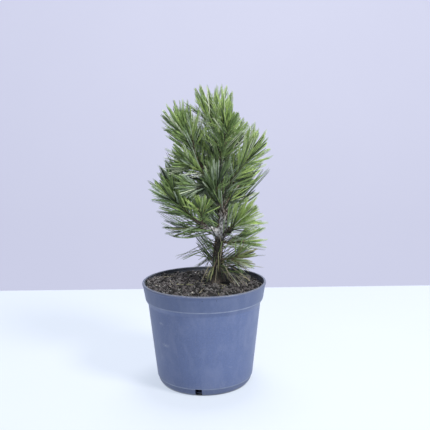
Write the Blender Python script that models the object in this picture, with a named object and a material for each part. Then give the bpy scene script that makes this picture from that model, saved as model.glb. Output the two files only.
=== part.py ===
"""A young Bosnian pine in a round nursery pot, built as separate named solids.

Lengths are written in millimetres and scaled by MM, because Blender works in metres.
The origin is the centre of the pot's flat underside, +Z is up and -Y faces the viewer.
"""

import math
import random

import bmesh
import bpy
import numpy as np
from mathutils import Vector
from mathutils.bvhtree import BVHTree

MM = 0.001

# Gap kept between pieces that touch, and how far a stem starts inside the bough's tip before it is cut
SEAT_GAP = 0.42
TIP_OVERLAP = 2.0

# Pot, a thin turned shell with a rolled lip and a deep collar
POT_HEIGHT = 186.0
RIM_RADIUS = 112.5
LIP_HEIGHT = 4.0
LIP_WIDTH = 4.5
LIP_BULGE = 0.8
COLLAR_DEPTH = 30.0
COLLAR_FOOT_RADIUS = 107.0
COLLAR_STEP = 8.0
BODY_TOP_RADIUS = 102.4
BODY_FOOT_RADIUS = 87.3
BASE_RING_HEIGHT = 14.0
FOOT_RADIUS = 79.0
FOOT_ROUNDING_STEPS = 2
POT_WALL = 2.4
POT_SEGMENTS = 32
NOTCH_COUNT = 4
NOTCH_WIDTH = 12.0
NOTCH_HEIGHT = 14.0
NOTCH_DEPTH = 8.0
NOTCH_FIRST_HEADING = -98.0

# Potting soil, filling the pot to a little under its lip
SOIL_LEVEL = 176.2
SOIL_UNEVENNESS = 1.2
SOIL_RISE_TO_LEFT = 1.8
SOIL_FLAT_RADIUS = 44.0
SOIL_BLEND = 30.0
SOIL_EDGE_GAP = 0.6
SOIL_RINGS = 3

# Trunk: x, y, height above the soil, radius
TRUNK_COURSE = (
    (24.5, 14.0, 0.0, 15.5),
    (24.6, 13.6, 7.0, 12.4),
    (25.0, 12.5, 20.0, 10.0),
    (25.5, 11.0, 42.0, 8.6),
    (26.5, 8.5, 66.0, 7.8),
    (29.0, 6.0, 85.0, 8.2),
    (32.0, 4.5, 99.0, 9.6),
    (35.0, 3.0, 114.0, 8.0),
    (34.5, 1.5, 132.0, 7.0),
    (32.0, 0.5, 154.0, 6.4),
    (28.5, 0.5, 180.0, 5.6),
    (29.5, 3.0, 204.0, 4.8),
    (29.0, 8.0, 226.0, 4.1),
    (25.5, 13.0, 244.0, 3.4),
)
TRUNK_SIDES = 12
ROOT_FLARE_LOBES = 5
ROOT_FLARE_DEPTH = 0.13
ROOT_FLARE_HEIGHT = 24.0

# Boughs: name, height of the fork above the pot's foot, tip, radius at fork and at tip,
# heading and rise at the tip
BOUGH_SIDES = 6
BOUGH_STEPS = 6
BOUGH_REACH = 0.45
BOUGHS = (
    ("lower_left_bough", 273.0, (-9.0, -3.0, 293.0), 5.2, 3.6, -167.0, 36.0),
    ("lower_right_bough", 266.0, (47.0, -8.0, 281.0), 4.2, 3.4, -41.0, 44.0),
    ("upper_left_bough", 348.0, (-1.0, -2.0, 392.0), 4.6, 3.4, -164.0, 60.0),
    ("upper_right_bough", 336.0, (50.0, -2.0, 367.0), 4.6, 3.4, -20.0, 54.0),
    ("back_left_bough", 306.0, (3.0, 22.0, 331.0), 4.4, 3.3, 158.0, 22.0),
    ("back_right_bough", 296.0, (43.0, 14.0, 315.0), 4.2, 3.3, 18.0, 50.0),
    ("back_bough", 324.0, (27.0, 37.0, 360.0), 4.6, 3.4, 105.0, 42.0),
    ("back_low_bough", 264.0, (18.0, 37.0, 287.0), 4.4, 3.3, 106.0, 26.0),
)

# Needle masses: name, carrier, place on the carrier, heading, rise, stem length, needle length,
# number of needles, side twigs, droop of the needles.
# The place is a height above the pot's foot on the trunk, or a share of a bough's length.
MASSES = (
    ("top_back_needles", "trunk", 420.0, 128.0, 80.0, 70.0, 59.0, 50, 3, 0.0),
    ("top_front_needles", "trunk", 396.0, -58.0, 66.0, 76.0, 58.0, 48, 3, 0.0),
    ("top_left_needles", "upper_left_bough", 1.0, -166.0, 62.0, 78.0, 60.0, 42, 2, 0.0),
    ("upper_left_needles", "upper_left_bough", 0.62, -146.0, 36.0, 50.0, 56.0, 24, 1, 2.0),
    ("mid_left_needles", "upper_left_bough", 0.3, -140.0, -6.0, 42.0, 50.0, 24, 1, 2.0),
    ("left_needles", "lower_left_bough", 1.0, -168.0, 46.0, 68.0, 58.0, 44, 2, 1.0),
    ("left_back_needles", "back_left_bough", 1.0, 158.0, 24.0, 50.0, 60.0, 22, 1, 2.0),
    ("centre_left_needles", "lower_left_bough", 0.78, -98.0, 50.0, 46.0, 43.0, 24, 1, 0.0),
    ("lower_left_needles", "lower_left_bough", 0.45, 178.0, 4.0, 38.0, 52.0, 18, 0, 4.0),
    ("right_mid_needles", "lower_right_bough", 1.0, -38.0, 42.0, 28.0, 52.0, 35, 1, 0.0),
    ("right_low_needles", "trunk", 256.0, -14.0, 2.0, 42.0, 48.0, 26, 1, 2.0),
    ("base_right_needles", "trunk", 222.0, -26.0, 12.0, 44.0, 44.0, 24, 1, 0.0),
    ("right_needles", "upper_right_bough", 1.0, -22.0, 56.0, 58.0, 59.0, 44, 2, 0.0),
    ("right_back_needles", "trunk", 384.0, 30.0, 56.0, 66.0, 56.0, 34, 1, 0.0),
    ("right_low_back_needles", "back_right_bough", 1.0, 18.0, 50.0, 42.0, 50.0, 28, 1, 0.0),
    ("front_mid_needles", "trunk", 318.0, -120.0, 52.0, 54.0, 52.0, 28, 1, 0.0),
    ("back_top_needles", "trunk", 392.0, 84.0, 46.0, 58.0, 58.0, 22, 1, 2.0),
    ("upper_back_needles", "trunk", 396.0, 144.0, 50.0, 58.0, 56.0, 22, 1, 0.0),
    ("left_inner_needles", "trunk", 318.0, 174.0, 44.0, 36.0, 46.0, 16, 0, 0.0),
    ("right_inner_needles", "trunk", 320.0, 22.0, 48.0, 46.0, 56.0, 14, 0, 0.0),
    ("back_left_needles", "back_bough", 1.0, 122.0, 38.0, 42.0, 58.0, 22, 1, 2.0),
    ("back_right_needles", "back_bough", 0.6, 44.0, 36.0, 44.0, 58.0, 24, 1, 2.0),
    ("back_low_left_needles", "back_low_bough", 1.0, 128.0, 26.0, 36.0, 54.0, 20, 1, 2.0),
    ("back_low_right_needles", "back_low_bough", 0.55, 40.0, 28.0, 42.0, 52.0, 20, 1, 2.0),
    ("foot_left_needles", "trunk", 210.0, -170.0, 48.0, 28.0, 40.0, 8, 0, 0.0),
    ("foot_right_needles", "trunk", 210.0, -38.0, 8.0, 30.0, 38.0, 12, 0, 14.0),
    ("foot_front_needles", "trunk", 228.0, -112.0, -30.0, 28.0, 38.0, 12, 0, 12.0),
    ("foot_back_needles", "trunk", 230.0, 98.0, 4.0, 32.0, 42.0, 9, 0, 6.0),
)

# Stem of a mass, and the side twigs that fork from it between two shares of its length
STEM_SIDES = 4
STEM_STEPS = 8
STEM_RADIUS = 2.7
STEM_TIP_RADIUS = 2.0
STEM_BOW = 0.06
BUD_LENGTH = 7.0
BUD_BELOW_TIP = 0.6
BUD_SWELL = 1.25
TWIG_SIDES = 3
TWIG_RADIUS = 1.9
TWIG_TIP_RADIUS = 1.6
TWIG_LOWEST = 0.35
TWIG_HIGHEST = 0.8
TWIG_SHARE = 0.42
TWIG_SHARE_SPREAD = 0.15
TWIG_ANGLE = 34.0
TWIG_ANGLE_SPREAD = 6.0
TWIG_UPTURN = 0.12

# Needles, fewer and thicker than life
GOLDEN_ANGLE = 137.508
NEEDLE_RADIUS = 1.85
NEEDLE_ROOT_SHARE = 0.3
NEEDLE_BASE_ANGLE = 58.0
NEEDLE_TIP_ANGLE = 19.0
NEEDLE_ANGLE_POWER = 0.75
NEEDLE_LEAST_ANGLE = 6.0
NEEDLE_ANGLE_SPREAD = 7.0
NEEDLE_TURN_SPREAD = 10.0
NEEDLE_SHORTER = 0.88
NEEDLE_LONGER = 1.08
NEEDLE_CURL = 0.22
NEEDLE_CUTS = (1.0, 0.85, 0.7, 0.55)
NEEDLE_TRIES = 14
NEEDLES_PER_SHOOT = 3
NEEDLE_FREE_START = 5.0
HANGING_DROOP = 8.0

# Clearances of the needles: between two masses, and from fellows, limbs, soil and rim
SAMPLE_STEP = 2.0
SPACE_MARGIN = 4.5
FELLOW_ROOM = 3.0
LIMB_MARGIN = 2.45
SOIL_MARGIN = 2.9
RIM_MARGIN = 12.0
SEED = 34


def lerp(low, high, share):
    """Value a given share of the way from low to high."""
    return low + (high - low) * share


def heading_vector(heading, rise):
    """Unit vector from a compass heading, anticlockwise from +X, and a rise, both in degrees."""
    flat = math.cos(math.radians(rise))
    turn = math.radians(heading)
    return Vector((flat * math.cos(turn), flat * math.sin(turn), math.sin(math.radians(rise))))


def across(axis):
    """Two unit vectors square to an axis and to each other."""
    helper = Vector((0.0, 0.0, 1.0)) if abs(axis.z) < 0.9 else Vector((1.0, 0.0, 0.0))
    first = axis.cross(helper).normalized()
    return first, axis.cross(first).normalized()


def tilted(axis, angle, azimuth):
    """The axis tipped over by an angle, towards an azimuth round it, in degrees."""
    first, second = across(axis)
    turn = math.radians(azimuth)
    side = first * math.cos(turn) + second * math.sin(turn)
    return (axis * math.cos(math.radians(angle)) + side * math.sin(math.radians(angle))).normalized()


def clear_scene():
    """Remove every object that is in the file."""
    for item in list(bpy.data.objects):
        bpy.data.objects.remove(item, do_unlink=True)


def plain_material(name, colour, roughness):
    """A Principled material of one colour."""
    material = bpy.data.materials.new(name)
    material.use_nodes = True
    shader = material.node_tree.nodes["Principled BSDF"]
    shader.inputs["Base Color"].default_value = (*colour, 1.0)
    shader.inputs["Roughness"].default_value = roughness
    shader.inputs["Metallic"].default_value = 0.0
    return material


def add_object(name, vertices, faces, material=None, smooth=True):
    """A mesh object from points in millimetres and its faces."""
    mesh = bpy.data.meshes.new(name)
    mesh.from_pydata([tuple(point * MM for point in vertex) for vertex in vertices], [], faces)
    mesh.update()
    if smooth:
        mesh.shade_smooth()
        mesh.set_sharp_from_angle(angle=math.radians(40.0))
    if material:
        mesh.materials.append(material)
    item = bpy.data.objects.new(name, mesh)
    bpy.context.scene.collection.objects.link(item)
    return item


def apply_boolean(item, operation, cutter=None, collection=None):
    """Join or cut an object for good, then remove what it was joined with or cut by."""
    modifier = item.modifiers.new("join", "BOOLEAN")
    modifier.operation = operation
    modifier.solver = "EXACT"
    if collection:
        modifier.operand_type = "COLLECTION"
        modifier.collection = collection
    else:
        modifier.object = cutter
    graph = bpy.context.evaluated_depsgraph_get()
    result = bpy.data.meshes.new_from_object(item.evaluated_get(graph))
    item.modifiers.remove(modifier)
    item.data = result
    used = list(collection.objects) if collection else [cutter]
    for piece in used:
        bpy.data.objects.remove(piece, do_unlink=True)
    if collection:
        bpy.data.collections.remove(collection)


def keep_largest_body(item):
    """Drop loose scraps and fill sealed hollows, which both are bodies of their own."""
    shape = bmesh.new()
    shape.from_mesh(item.data)
    left = set(shape.verts)
    bodies = []
    while left:
        body = {left.pop()}
        front = list(body)
        while front:
            for edge in front.pop().link_edges:
                for vertex in edge.verts:
                    if vertex in left:
                        left.discard(vertex)
                        body.add(vertex)
                        front.append(vertex)
        bodies.append(body)
    bodies.sort(key=len)
    for body in bodies[:-1]:
        bmesh.ops.delete(shape, geom=list(body), context="VERTS")
    shape.to_mesh(item.data)
    shape.free()


# Pot and soil

def wall_profile():
    """Outer side of the pot from its foot to under the lip, as radius and height."""
    collar_foot = POT_HEIGHT - COLLAR_DEPTH
    rounding = [
        (lerp(FOOT_RADIUS, BODY_FOOT_RADIUS, math.sin(turn)), BASE_RING_HEIGHT * (1.0 - math.cos(turn)))
        for turn in (math.pi / 2.0 * step / FOOT_ROUNDING_STEPS for step in range(FOOT_ROUNDING_STEPS))
    ]
    return rounding + [
        (BODY_FOOT_RADIUS, BASE_RING_HEIGHT),
        (BODY_TOP_RADIUS, collar_foot - COLLAR_STEP),
        (COLLAR_FOOT_RADIUS, collar_foot),
        (RIM_RADIUS - LIP_BULGE, POT_HEIGHT - LIP_HEIGHT),
    ]


def inner_profile(inset):
    """Inner side of the wall and floor, moved in by an inset, from the rim down to the foot."""
    upper = [point for point in wall_profile() if point[1] >= BASE_RING_HEIGHT]
    inner = [(radius - POT_WALL - inset, height) for radius, height in reversed(upper)]
    inner.append((FOOT_RADIUS - inset, POT_WALL + inset))
    return inner


def turned(profile, segments):
    """Vertices and faces of a shape turned about Z, with a point on the axis at each end."""
    vertices = [Vector((0.0, 0.0, profile[0][1]))]
    for radius, height in profile[1:-1]:
        for step in range(segments):
            turn = 2.0 * math.pi * step / segments
            vertices.append(Vector((radius * math.cos(turn), radius * math.sin(turn), height)))
    vertices.append(Vector((0.0, 0.0, profile[-1][1])))
    last = len(vertices) - 1
    rings = len(profile) - 2
    faces = []
    for step in range(segments):
        after = (step + 1) % segments
        faces.append((0, 1 + after, 1 + step))
        for ring in range(rings - 1):
            low = 1 + ring * segments
            high = low + segments
            faces.append((low + step, low + after, high + after, high + step))
        low = 1 + (rings - 1) * segments
        faces.append((low + step, low + after, last))
    return vertices, faces


def build_pot(material):
    """The pot's shell with its drain notches cut through the base ring."""
    rim_inner = RIM_RADIUS - LIP_BULGE - LIP_WIDTH
    lip = [
        (RIM_RADIUS, POT_HEIGHT - LIP_HEIGHT * 0.7),
        (RIM_RADIUS, POT_HEIGHT - LIP_HEIGHT * 0.25),
        (RIM_RADIUS - LIP_WIDTH * 0.25, POT_HEIGHT),
        (rim_inner + LIP_WIDTH * 0.3, POT_HEIGHT),
    ]
    inner = inner_profile(0.0)
    floor_top = inner[-1][1]
    profile = [(0.0, 0.0)] + wall_profile() + lip + inner + [(0.0, floor_top)]
    vertices, faces = turned(profile, POT_SEGMENTS)
    pot = add_object("pot", vertices, faces, material)
    cutters = bpy.data.collections.new("notches")
    bpy.context.scene.collection.children.link(cutters)
    for number in range(NOTCH_COUNT):
        turn = math.radians(NOTCH_FIRST_HEADING + 360.0 * number / NOTCH_COUNT)
        bpy.ops.mesh.primitive_cube_add(size=1.0)
        cutter = bpy.context.active_object
        reach = BODY_FOOT_RADIUS + NOTCH_DEPTH - (FOOT_RADIUS - NOTCH_DEPTH)
        middle = (BODY_FOOT_RADIUS + FOOT_RADIUS) / 2.0
        cutter.scale = (reach * MM, NOTCH_WIDTH * MM, 2.0 * NOTCH_HEIGHT * MM)
        cutter.location = (middle * math.cos(turn) * MM, middle * math.sin(turn) * MM, 0.0)
        cutter.rotation_euler = (0.0, 0.0, turn)
        cutter.hide_render = True
        cutter.display_type = "WIRE"
        for home in list(cutter.users_collection):
            home.objects.unlink(cutter)
        cutters.objects.link(cutter)
    bpy.context.view_layer.update()
    apply_boolean(pot, "DIFFERENCE", collection=cutters)
    return pot


def soil_height(x, y):
    """Height of the soil's top, flat round the trunk and gently uneven elsewhere."""
    foot_x, foot_y = TRUNK_COURSE[0][:2]
    away = (math.hypot(x - foot_x, y - foot_y) - SOIL_FLAT_RADIUS) / SOIL_BLEND
    away = min(max(away, 0.0), 1.0)
    waves = math.sin(x * 0.071 + 0.6) * math.cos(y * 0.063 - 0.4) + 0.5 * math.sin(x * 0.13 - y * 0.11)
    return SOIL_LEVEL + away * (SOIL_UNEVENNESS * waves - SOIL_RISE_TO_LEFT * x / RIM_RADIUS)


def build_soil(material):
    """One solid that fills the pot, a hair clear of the wall and floor."""
    inner = inner_profile(SEAT_GAP)
    low = [point for point in reversed(inner) if point[1] < POT_HEIGHT - COLLAR_DEPTH + 1.0]
    profile = [(0.0, low[0][1])] + low
    share = (SOIL_LEVEL - low[-1][1]) / (inner[0][1] - low[-1][1])
    edge_radius = lerp(low[-1][0], inner[0][0], share) - SOIL_EDGE_GAP
    for ring in range(SOIL_RINGS, 0, -1):
        profile.append((edge_radius * ring / SOIL_RINGS, SOIL_LEVEL))
    profile.append((0.0, SOIL_LEVEL))
    vertices, faces = turned(profile, POT_SEGMENTS)
    for vertex in vertices:
        if abs(vertex.z - SOIL_LEVEL) < SEAT_GAP:
            vertex.z = soil_height(vertex.x, vertex.y)
    return add_object("soil", vertices, faces, material)


# Limbs

def bezier(start, control, end, steps):
    """Points along a curve with one control point."""
    return [
        start * (1.0 - t) ** 2 + control * 2.0 * t * (1.0 - t) + end * t * t
        for t in (step / steps for step in range(steps + 1))
    ]


def ring_frames(points):
    """An across pair for each point of a course, turned as little as possible from one to the next."""
    frames = []
    first = None
    for index, point in enumerate(points):
        ahead = points[min(index + 1, len(points) - 1)] - points[max(index - 1, 0)]
        axis = ahead.normalized()
        if first is None:
            first = across(axis)[0]
        first = (first - axis * first.dot(axis)).normalized()
        frames.append((first, axis.cross(first).normalized()))
    return frames


def tube(points, radii, sides, pointed):
    """Vertices and faces of a limb, its end either a flat cap or a point."""
    frames = ring_frames(points)
    ring_count = len(points) - 1 if pointed else len(points)
    vertices = []
    for index in range(ring_count):
        first, second = frames[index]
        for side in range(sides):
            turn = 2.0 * math.pi * side / sides
            offset = first * math.cos(turn) + second * math.sin(turn)
            vertices.append(points[index] + offset * radii[index])
    vertices.append(points[0].copy())
    root = len(vertices) - 1
    vertices.append(points[-1].copy())
    end = len(vertices) - 1
    faces = []
    top = (ring_count - 1) * sides
    for side in range(sides):
        after = (side + 1) % sides
        faces.append((root, after, side))
        for ring in range(ring_count - 1):
            low = ring * sides
            faces.append((low + side, low + after, low + sides + after, low + sides + side))
        faces.append((top + side, top + after, end))
    return vertices, faces


def surface_tree(item):
    """Search tree of an object's surface, in millimetres."""
    points = [item.matrix_world @ vertex.co / MM for vertex in item.data.vertices]
    faces = [tuple(face.vertices) for face in item.data.polygons]
    return BVHTree.FromPolygons(points, faces)


def seat_on(item, carrier):
    """Cut away what lies inside a carrier's skin, so that the piece ends a hair clear of it."""
    cutter = carrier.item.copy()
    cutter.data = carrier.item.data.copy()
    bpy.context.scene.collection.objects.link(cutter)
    cutter.hide_render = True
    cutter.display_type = "WIRE"
    normals = [vertex.normal.copy() for vertex in cutter.data.vertices]
    for vertex, normal in zip(cutter.data.vertices, normals):
        vertex.co += normal * SEAT_GAP * MM
    apply_boolean(item, "DIFFERENCE", cutter=cutter)
    keep_largest_body(item)


class Limb:
    """A centreline with radii, its place in the tree and the object made from it."""

    def __init__(self, name, points, radii):
        self.name = name
        self.points = points
        self.radii = radii
        self.item = None
        self.tree = None

    def at_height(self, height):
        """Point on the centreline at a height."""
        for low, high in zip(self.points, self.points[1:]):
            if low.z <= height <= high.z:
                return low.lerp(high, (height - low.z) / (high.z - low.z))
        return self.points[-1].copy()

    def at_share(self, share):
        """Point on the centreline a share of the way along it."""
        place = share * (len(self.points) - 1)
        index = min(int(place), len(self.points) - 2)
        return self.points[index].lerp(self.points[index + 1], place - index)


def build_trunk(material):
    """The trunk from its flat cut on the soil to its tip, with a lobed root flare."""
    base = SOIL_LEVEL + SEAT_GAP
    points = [Vector((x, y, base + up)) for x, y, up, _ in TRUNK_COURSE]
    radii = [row[3] for row in TRUNK_COURSE]
    limb = Limb("trunk", points, radii)
    vertices, faces = tube(points, radii, TRUNK_SIDES, pointed=False)
    for index in range(len(points) * TRUNK_SIDES):
        ring = index // TRUNK_SIDES
        centre = points[ring]
        rise = centre.z - base
        if rise < ROOT_FLARE_HEIGHT:
            away = vertices[index] - centre
            turn = math.atan2(away.y, away.x)
            lobe = ROOT_FLARE_DEPTH * (1.0 - rise / ROOT_FLARE_HEIGHT)
            away *= 1.0 + lobe * math.cos(ROOT_FLARE_LOBES * turn)
            vertices[index] = centre + away
        if ring == 0:
            vertices[index].z = base
    limb.item = add_object("trunk", vertices, faces, material)
    limb.tree = surface_tree(limb.item)
    return limb


def build_bough(row, trunk, material):
    """One tapering limb from the trunk's side to the place where it enters its mass."""
    name, fork_height, tip, fork_radius, tip_radius, heading, rise = row
    start = trunk.at_height(fork_height)
    end = Vector(tip)
    control = end - heading_vector(heading, rise) * (end - start).length * BOUGH_REACH
    course = bezier(start, control, end, BOUGH_STEPS)
    skip = 1
    while too_near(course[skip], trunk, fork_radius):
        skip += 1
    points = [course[0]] + course[skip:]
    radii = [lerp(fork_radius, tip_radius, index / (len(points) - 1)) for index in range(len(points))]
    vertices, faces = tube(points, radii, BOUGH_SIDES, pointed=False)
    limb = Limb(name, points, radii)
    limb.item = add_object(name, vertices, faces, material)
    seat_on(limb.item, trunk)
    limb.tree = surface_tree(limb.item)
    return limb


def too_near(point, limb, radius):
    """True where a ring of a radius round a point could touch a limb, or the point is inside it."""
    hit, normal, _, away = limb.tree.find_nearest(point)
    return away < radius + SEAT_GAP or (point - hit).dot(normal) < 0.0


# Needle masses

class Mass:
    """One shoot: its stem, its side twigs, and the needles that stand out of them."""

    def __init__(self, row, limbs):
        (self.name, carrier, place, heading, rise, length, self.needle_length,
         self.needle_count, self.twig_count, self.droop) = row
        self.carrier = limbs[carrier]
        self.draw = random.Random(f"{SEED} {self.name}")
        self.direction = heading_vector(heading, rise)
        if place == 1.0 or place >= self.carrier.points[-1].z:
            start = self.carrier.points[-1] - self.direction * TIP_OVERLAP
        elif carrier == "trunk":
            start = self.carrier.at_height(place)
        else:
            start = self.carrier.at_share(place)
        self.stem = self.make_stem(start, length)
        self.twigs = self.make_twigs(limbs.values())

    def make_stem(self, start, length):
        """Centreline and radii of the stem, bowed slightly upwards, with a bud at its end."""
        end = start + self.direction * length
        control = start.lerp(end, 0.5) - Vector((0.0, 0.0, STEM_BOW * length))
        course = bezier(start, control, end, STEM_STEPS)
        skip = 1
        while too_near(course[skip], self.carrier, STEM_RADIUS):
            skip += 1
        points = [course[0], course[skip]] + course[skip + 3:-2:3]
        bud = (course[-1] - course[-2]).normalized()
        points.append(end - bud * BUD_LENGTH * BUD_BELOW_TIP)
        points.append(end + bud * BUD_LENGTH * (1.0 - BUD_BELOW_TIP))
        slim = len(points) - 3
        radii = [lerp(STEM_RADIUS, STEM_TIP_RADIUS, min(index / slim, 1.0)) for index in range(len(points))]
        radii[-2] = STEM_TIP_RADIUS * BUD_SWELL
        return points, radii

    def make_twigs(self, limbs):
        """Side twigs, spread round the stem by the golden angle, each a short pointed limb."""
        length = (self.stem[0][-1] - self.stem[0][1]).length
        radii = [TWIG_RADIUS, TWIG_RADIUS, TWIG_TIP_RADIUS, 0.0]
        twigs = []
        for number in range(self.twig_count):
            start = self.along_stem(lerp(TWIG_LOWEST, TWIG_HIGHEST, (number + 0.5) / self.twig_count))
            azimuth = number * GOLDEN_ANGLE + self.draw.uniform(0.0, 360.0)
            angle = TWIG_ANGLE + self.draw.uniform(-TWIG_ANGLE_SPREAD, TWIG_ANGLE_SPREAD)
            out = tilted(self.direction, angle, azimuth)
            reach = length * TWIG_SHARE * self.draw.uniform(1.0 - TWIG_SHARE_SPREAD, 1.0 + TWIG_SHARE_SPREAD)
            end = start + out * reach + Vector((0.0, 0.0, TWIG_UPTURN * reach))
            course = [start, start.lerp(end, 0.45), start.lerp(end, 0.88), end + out * BUD_LENGTH * 0.3]
            if not any(too_near(point, limb, TWIG_RADIUS) for limb in limbs for point in course[1:]):
                twigs.append((course, radii))
        return twigs

    def along_stem(self, share):
        """Point on the free part of the stem."""
        points = self.stem[0][1:-1]
        place = share * (len(points) - 1)
        index = min(int(place), len(points) - 2)
        return points[index].lerp(points[index + 1], place - index)

    def shoots(self):
        """The stem and twigs as courses that needles stand on, with their lengths."""
        courses = [self.stem[0][1:-1]] + [points[1:-1] for points, _ in self.twigs]
        lengths = [sum((b - a).length for a, b in zip(points, points[1:])) for points in courses]
        return courses, lengths

    def segments(self):
        """Rows of start, end, start radius and end radius for each straight piece of the mass."""
        rows = []
        for points, radii in [self.stem] + self.twigs:
            for index in range(len(points) - 1):
                rows.append((points[index], points[index + 1], radii[index], radii[index + 1]))
        return rows


class Segments:
    """Straight tapering pieces whose distance from many points is found at once."""

    def __init__(self, rows):
        self.start = np.array([tuple(row[0]) for row in rows])
        self.step = np.array([tuple(row[1]) for row in rows]) - self.start
        self.radius = np.array([row[2] for row in rows])
        self.taper = np.array([row[3] for row in rows]) - self.radius
        self.square = np.maximum((self.step ** 2).sum(axis=1), 1e-9)

    def distance(self, points):
        """Least distance from each point to the surface of any piece."""
        away = points[:, None, :] - self.start[None, :, :]
        share = np.clip((away * self.step[None]).sum(axis=2) / self.square, 0.0, 1.0)
        gap = np.linalg.norm(away - share[:, :, None] * self.step[None], axis=2)
        return (gap - self.radius - share * self.taper).min(axis=1)


class Space:
    """Says whether a needle keeps to its own mass's space."""

    def __init__(self, masses, limbs):
        self.own = {mass.name: Segments(mass.segments()) for mass in masses}
        self.others = {}
        for mass in masses:
            rows = [row for other in masses if other is not mass for row in other.segments()]
            self.others[mass.name] = Segments(rows)
        rows = []
        for limb in limbs:
            for index in range(len(limb.points) - 1):
                rows.append((limb.points[index], limb.points[index + 1],
                             limb.radii[index], limb.radii[index + 1]))
        self.limbs = Segments(rows)

    def allows(self, mass, points):
        """True where all sample points are in the mass's own space, off limbs, soil and pot."""
        margin = self.others[mass.name].distance(points) - self.own[mass.name].distance(points)
        if margin.min() < SPACE_MARGIN:
            return False
        if self.limbs.distance(points).min() < LIMB_MARGIN:
            return False
        flat = np.hypot(points[:, 0], points[:, 1])
        low = points[:, 2] < SOIL_LEVEL + SOIL_MARGIN
        over_rim = (flat > RIM_RADIUS - RIM_MARGIN) & (points[:, 2] < POT_HEIGHT + SOIL_MARGIN)
        return not (low.any() or over_rim.any())


def needle_course(root, direction, curl_to, length):
    """Three points of a needle that bends gently from its first direction towards another."""
    middle = root + direction * length * 0.5
    end = middle + (direction * (1.0 - NEEDLE_CURL) + curl_to * NEEDLE_CURL).normalized() * length * 0.5
    return [root, middle, end]


def sample(course, free_start):
    """Points along a needle, from where it has left its twig to its tip."""
    out = []
    for start, end in zip(course, course[1:]):
        count = max(int((end - start).length / SAMPLE_STEP), 1)
        out += [start.lerp(end, step / count) for step in range(count)]
    out.append(course[-1])
    root = course[0]
    return np.array([tuple(point) for point in out if (point - root).length >= free_start])


def grow_needles(mass, space):
    """Courses of the mass's needles, set round its shoots by the golden angle."""
    courses, lengths = mass.shoots()
    total = sum(lengths)
    grown = []
    number = 0
    for points, run in zip(courses, lengths):
        count = max(round(mass.needle_count * run / total), NEEDLES_PER_SHOOT)
        for step in range(count):
            share = (step + 0.5) / count
            place = share * (len(points) - 1)
            index = min(int(place), len(points) - 2)
            root = points[index].lerp(points[index + 1], place - index)
            axis = (points[index + 1] - points[index]).normalized()
            number += 1
            needle = best_needle(mass, space, root, axis, share, number, grown)
            if needle:
                grown.append(needle)
    return grown


def needle_rows(course):
    """A needle's free length as straight pieces with radii."""
    root, middle, end = course
    start = root.lerp(middle, min(NEEDLE_FREE_START / (middle - root).length, 0.9))
    return [(start, middle, NEEDLE_RADIUS * 0.5, NEEDLE_RADIUS), (middle, end, NEEDLE_RADIUS, 0.0)]


def best_needle(mass, space, root, axis, share, number, grown):
    """The longest needle that its space allows, and of those the one least near its fellows."""
    draw = mass.draw
    base_angle = lerp(NEEDLE_BASE_ANGLE, NEEDLE_TIP_ANGLE, share ** NEEDLE_ANGLE_POWER)
    fellows = Segments([row for course in grown for row in needle_rows(course)]) if grown else None
    curl_to = axis if mass.droop < HANGING_DROOP else Vector((0.0, 0.0, -1.0))
    best = None
    for attempt in range(NEEDLE_TRIES):
        turn_spread = NEEDLE_TURN_SPREAD * (1.0 + attempt)
        azimuth = number * GOLDEN_ANGLE + draw.uniform(-turn_spread, turn_spread)
        angle = base_angle + draw.uniform(-NEEDLE_ANGLE_SPREAD, NEEDLE_ANGLE_SPREAD) - attempt
        length = mass.needle_length * draw.uniform(NEEDLE_SHORTER, NEEDLE_LONGER)
        direction = tilted(axis, max(angle, NEEDLE_LEAST_ANGLE), azimuth)
        direction = (direction - Vector((0.0, 0.0, mass.droop / 60.0))).normalized()
        for cut in NEEDLE_CUTS:
            course = needle_course(root, direction, curl_to, length * cut)
            points = sample(course, NEEDLE_FREE_START)
            if space.allows(mass, points):
                room = min(fellows.distance(points).min(), FELLOW_ROOM) if fellows else FELLOW_ROOM
                if best is None or (cut, room) > best[0]:
                    best = ((cut, room), course)
                break
        if best and best[0] == (NEEDLE_CUTS[0], FELLOW_ROOM):
            break
    return best[1] if best else None


def needle_solid(course):
    """Vertices and faces of a three-sided needle, widest at its middle, pointed at its tip."""
    root, middle, end = course
    axis = (end - root).normalized()
    first, second = across(axis)
    vertices = []
    for centre, radius in ((root, NEEDLE_RADIUS * NEEDLE_ROOT_SHARE), (middle, NEEDLE_RADIUS)):
        for side in range(3):
            turn = 2.0 * math.pi * side / 3.0
            vertices.append(centre + (first * math.cos(turn) + second * math.sin(turn)) * radius)
    vertices.append(end)
    faces = [(2, 1, 0)]
    for side in range(3):
        after = (side + 1) % 3
        faces.append((side, after, 3 + after, 3 + side))
        faces.append((3 + side, 3 + after, 6))
    return vertices, faces


def build_mass(mass, space, material):
    """One solid of stem, twigs and needles."""
    points, radii = mass.stem
    vertices, faces = tube(points, radii, STEM_SIDES, pointed=True)
    item = add_object(mass.name, vertices, faces, material)
    seat_on(item, mass.carrier)
    extras = bpy.data.collections.new(mass.name)
    bpy.context.scene.collection.children.link(extras)
    solids = [tube(course, widths, TWIG_SIDES, pointed=True) for course, widths in mass.twigs]
    solids += [needle_solid(course) for course in grow_needles(mass, space)]
    for number, (points, corners) in enumerate(solids):
        extra = add_object(f"{mass.name}_{number}", points, corners, smooth=False)
        bpy.context.scene.collection.objects.unlink(extra)
        extras.objects.link(extra)
    bpy.context.view_layer.update()
    apply_boolean(item, "UNION", collection=extras)
    keep_largest_body(item)
    return item, len(solids) - len(mass.twigs)


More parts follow.
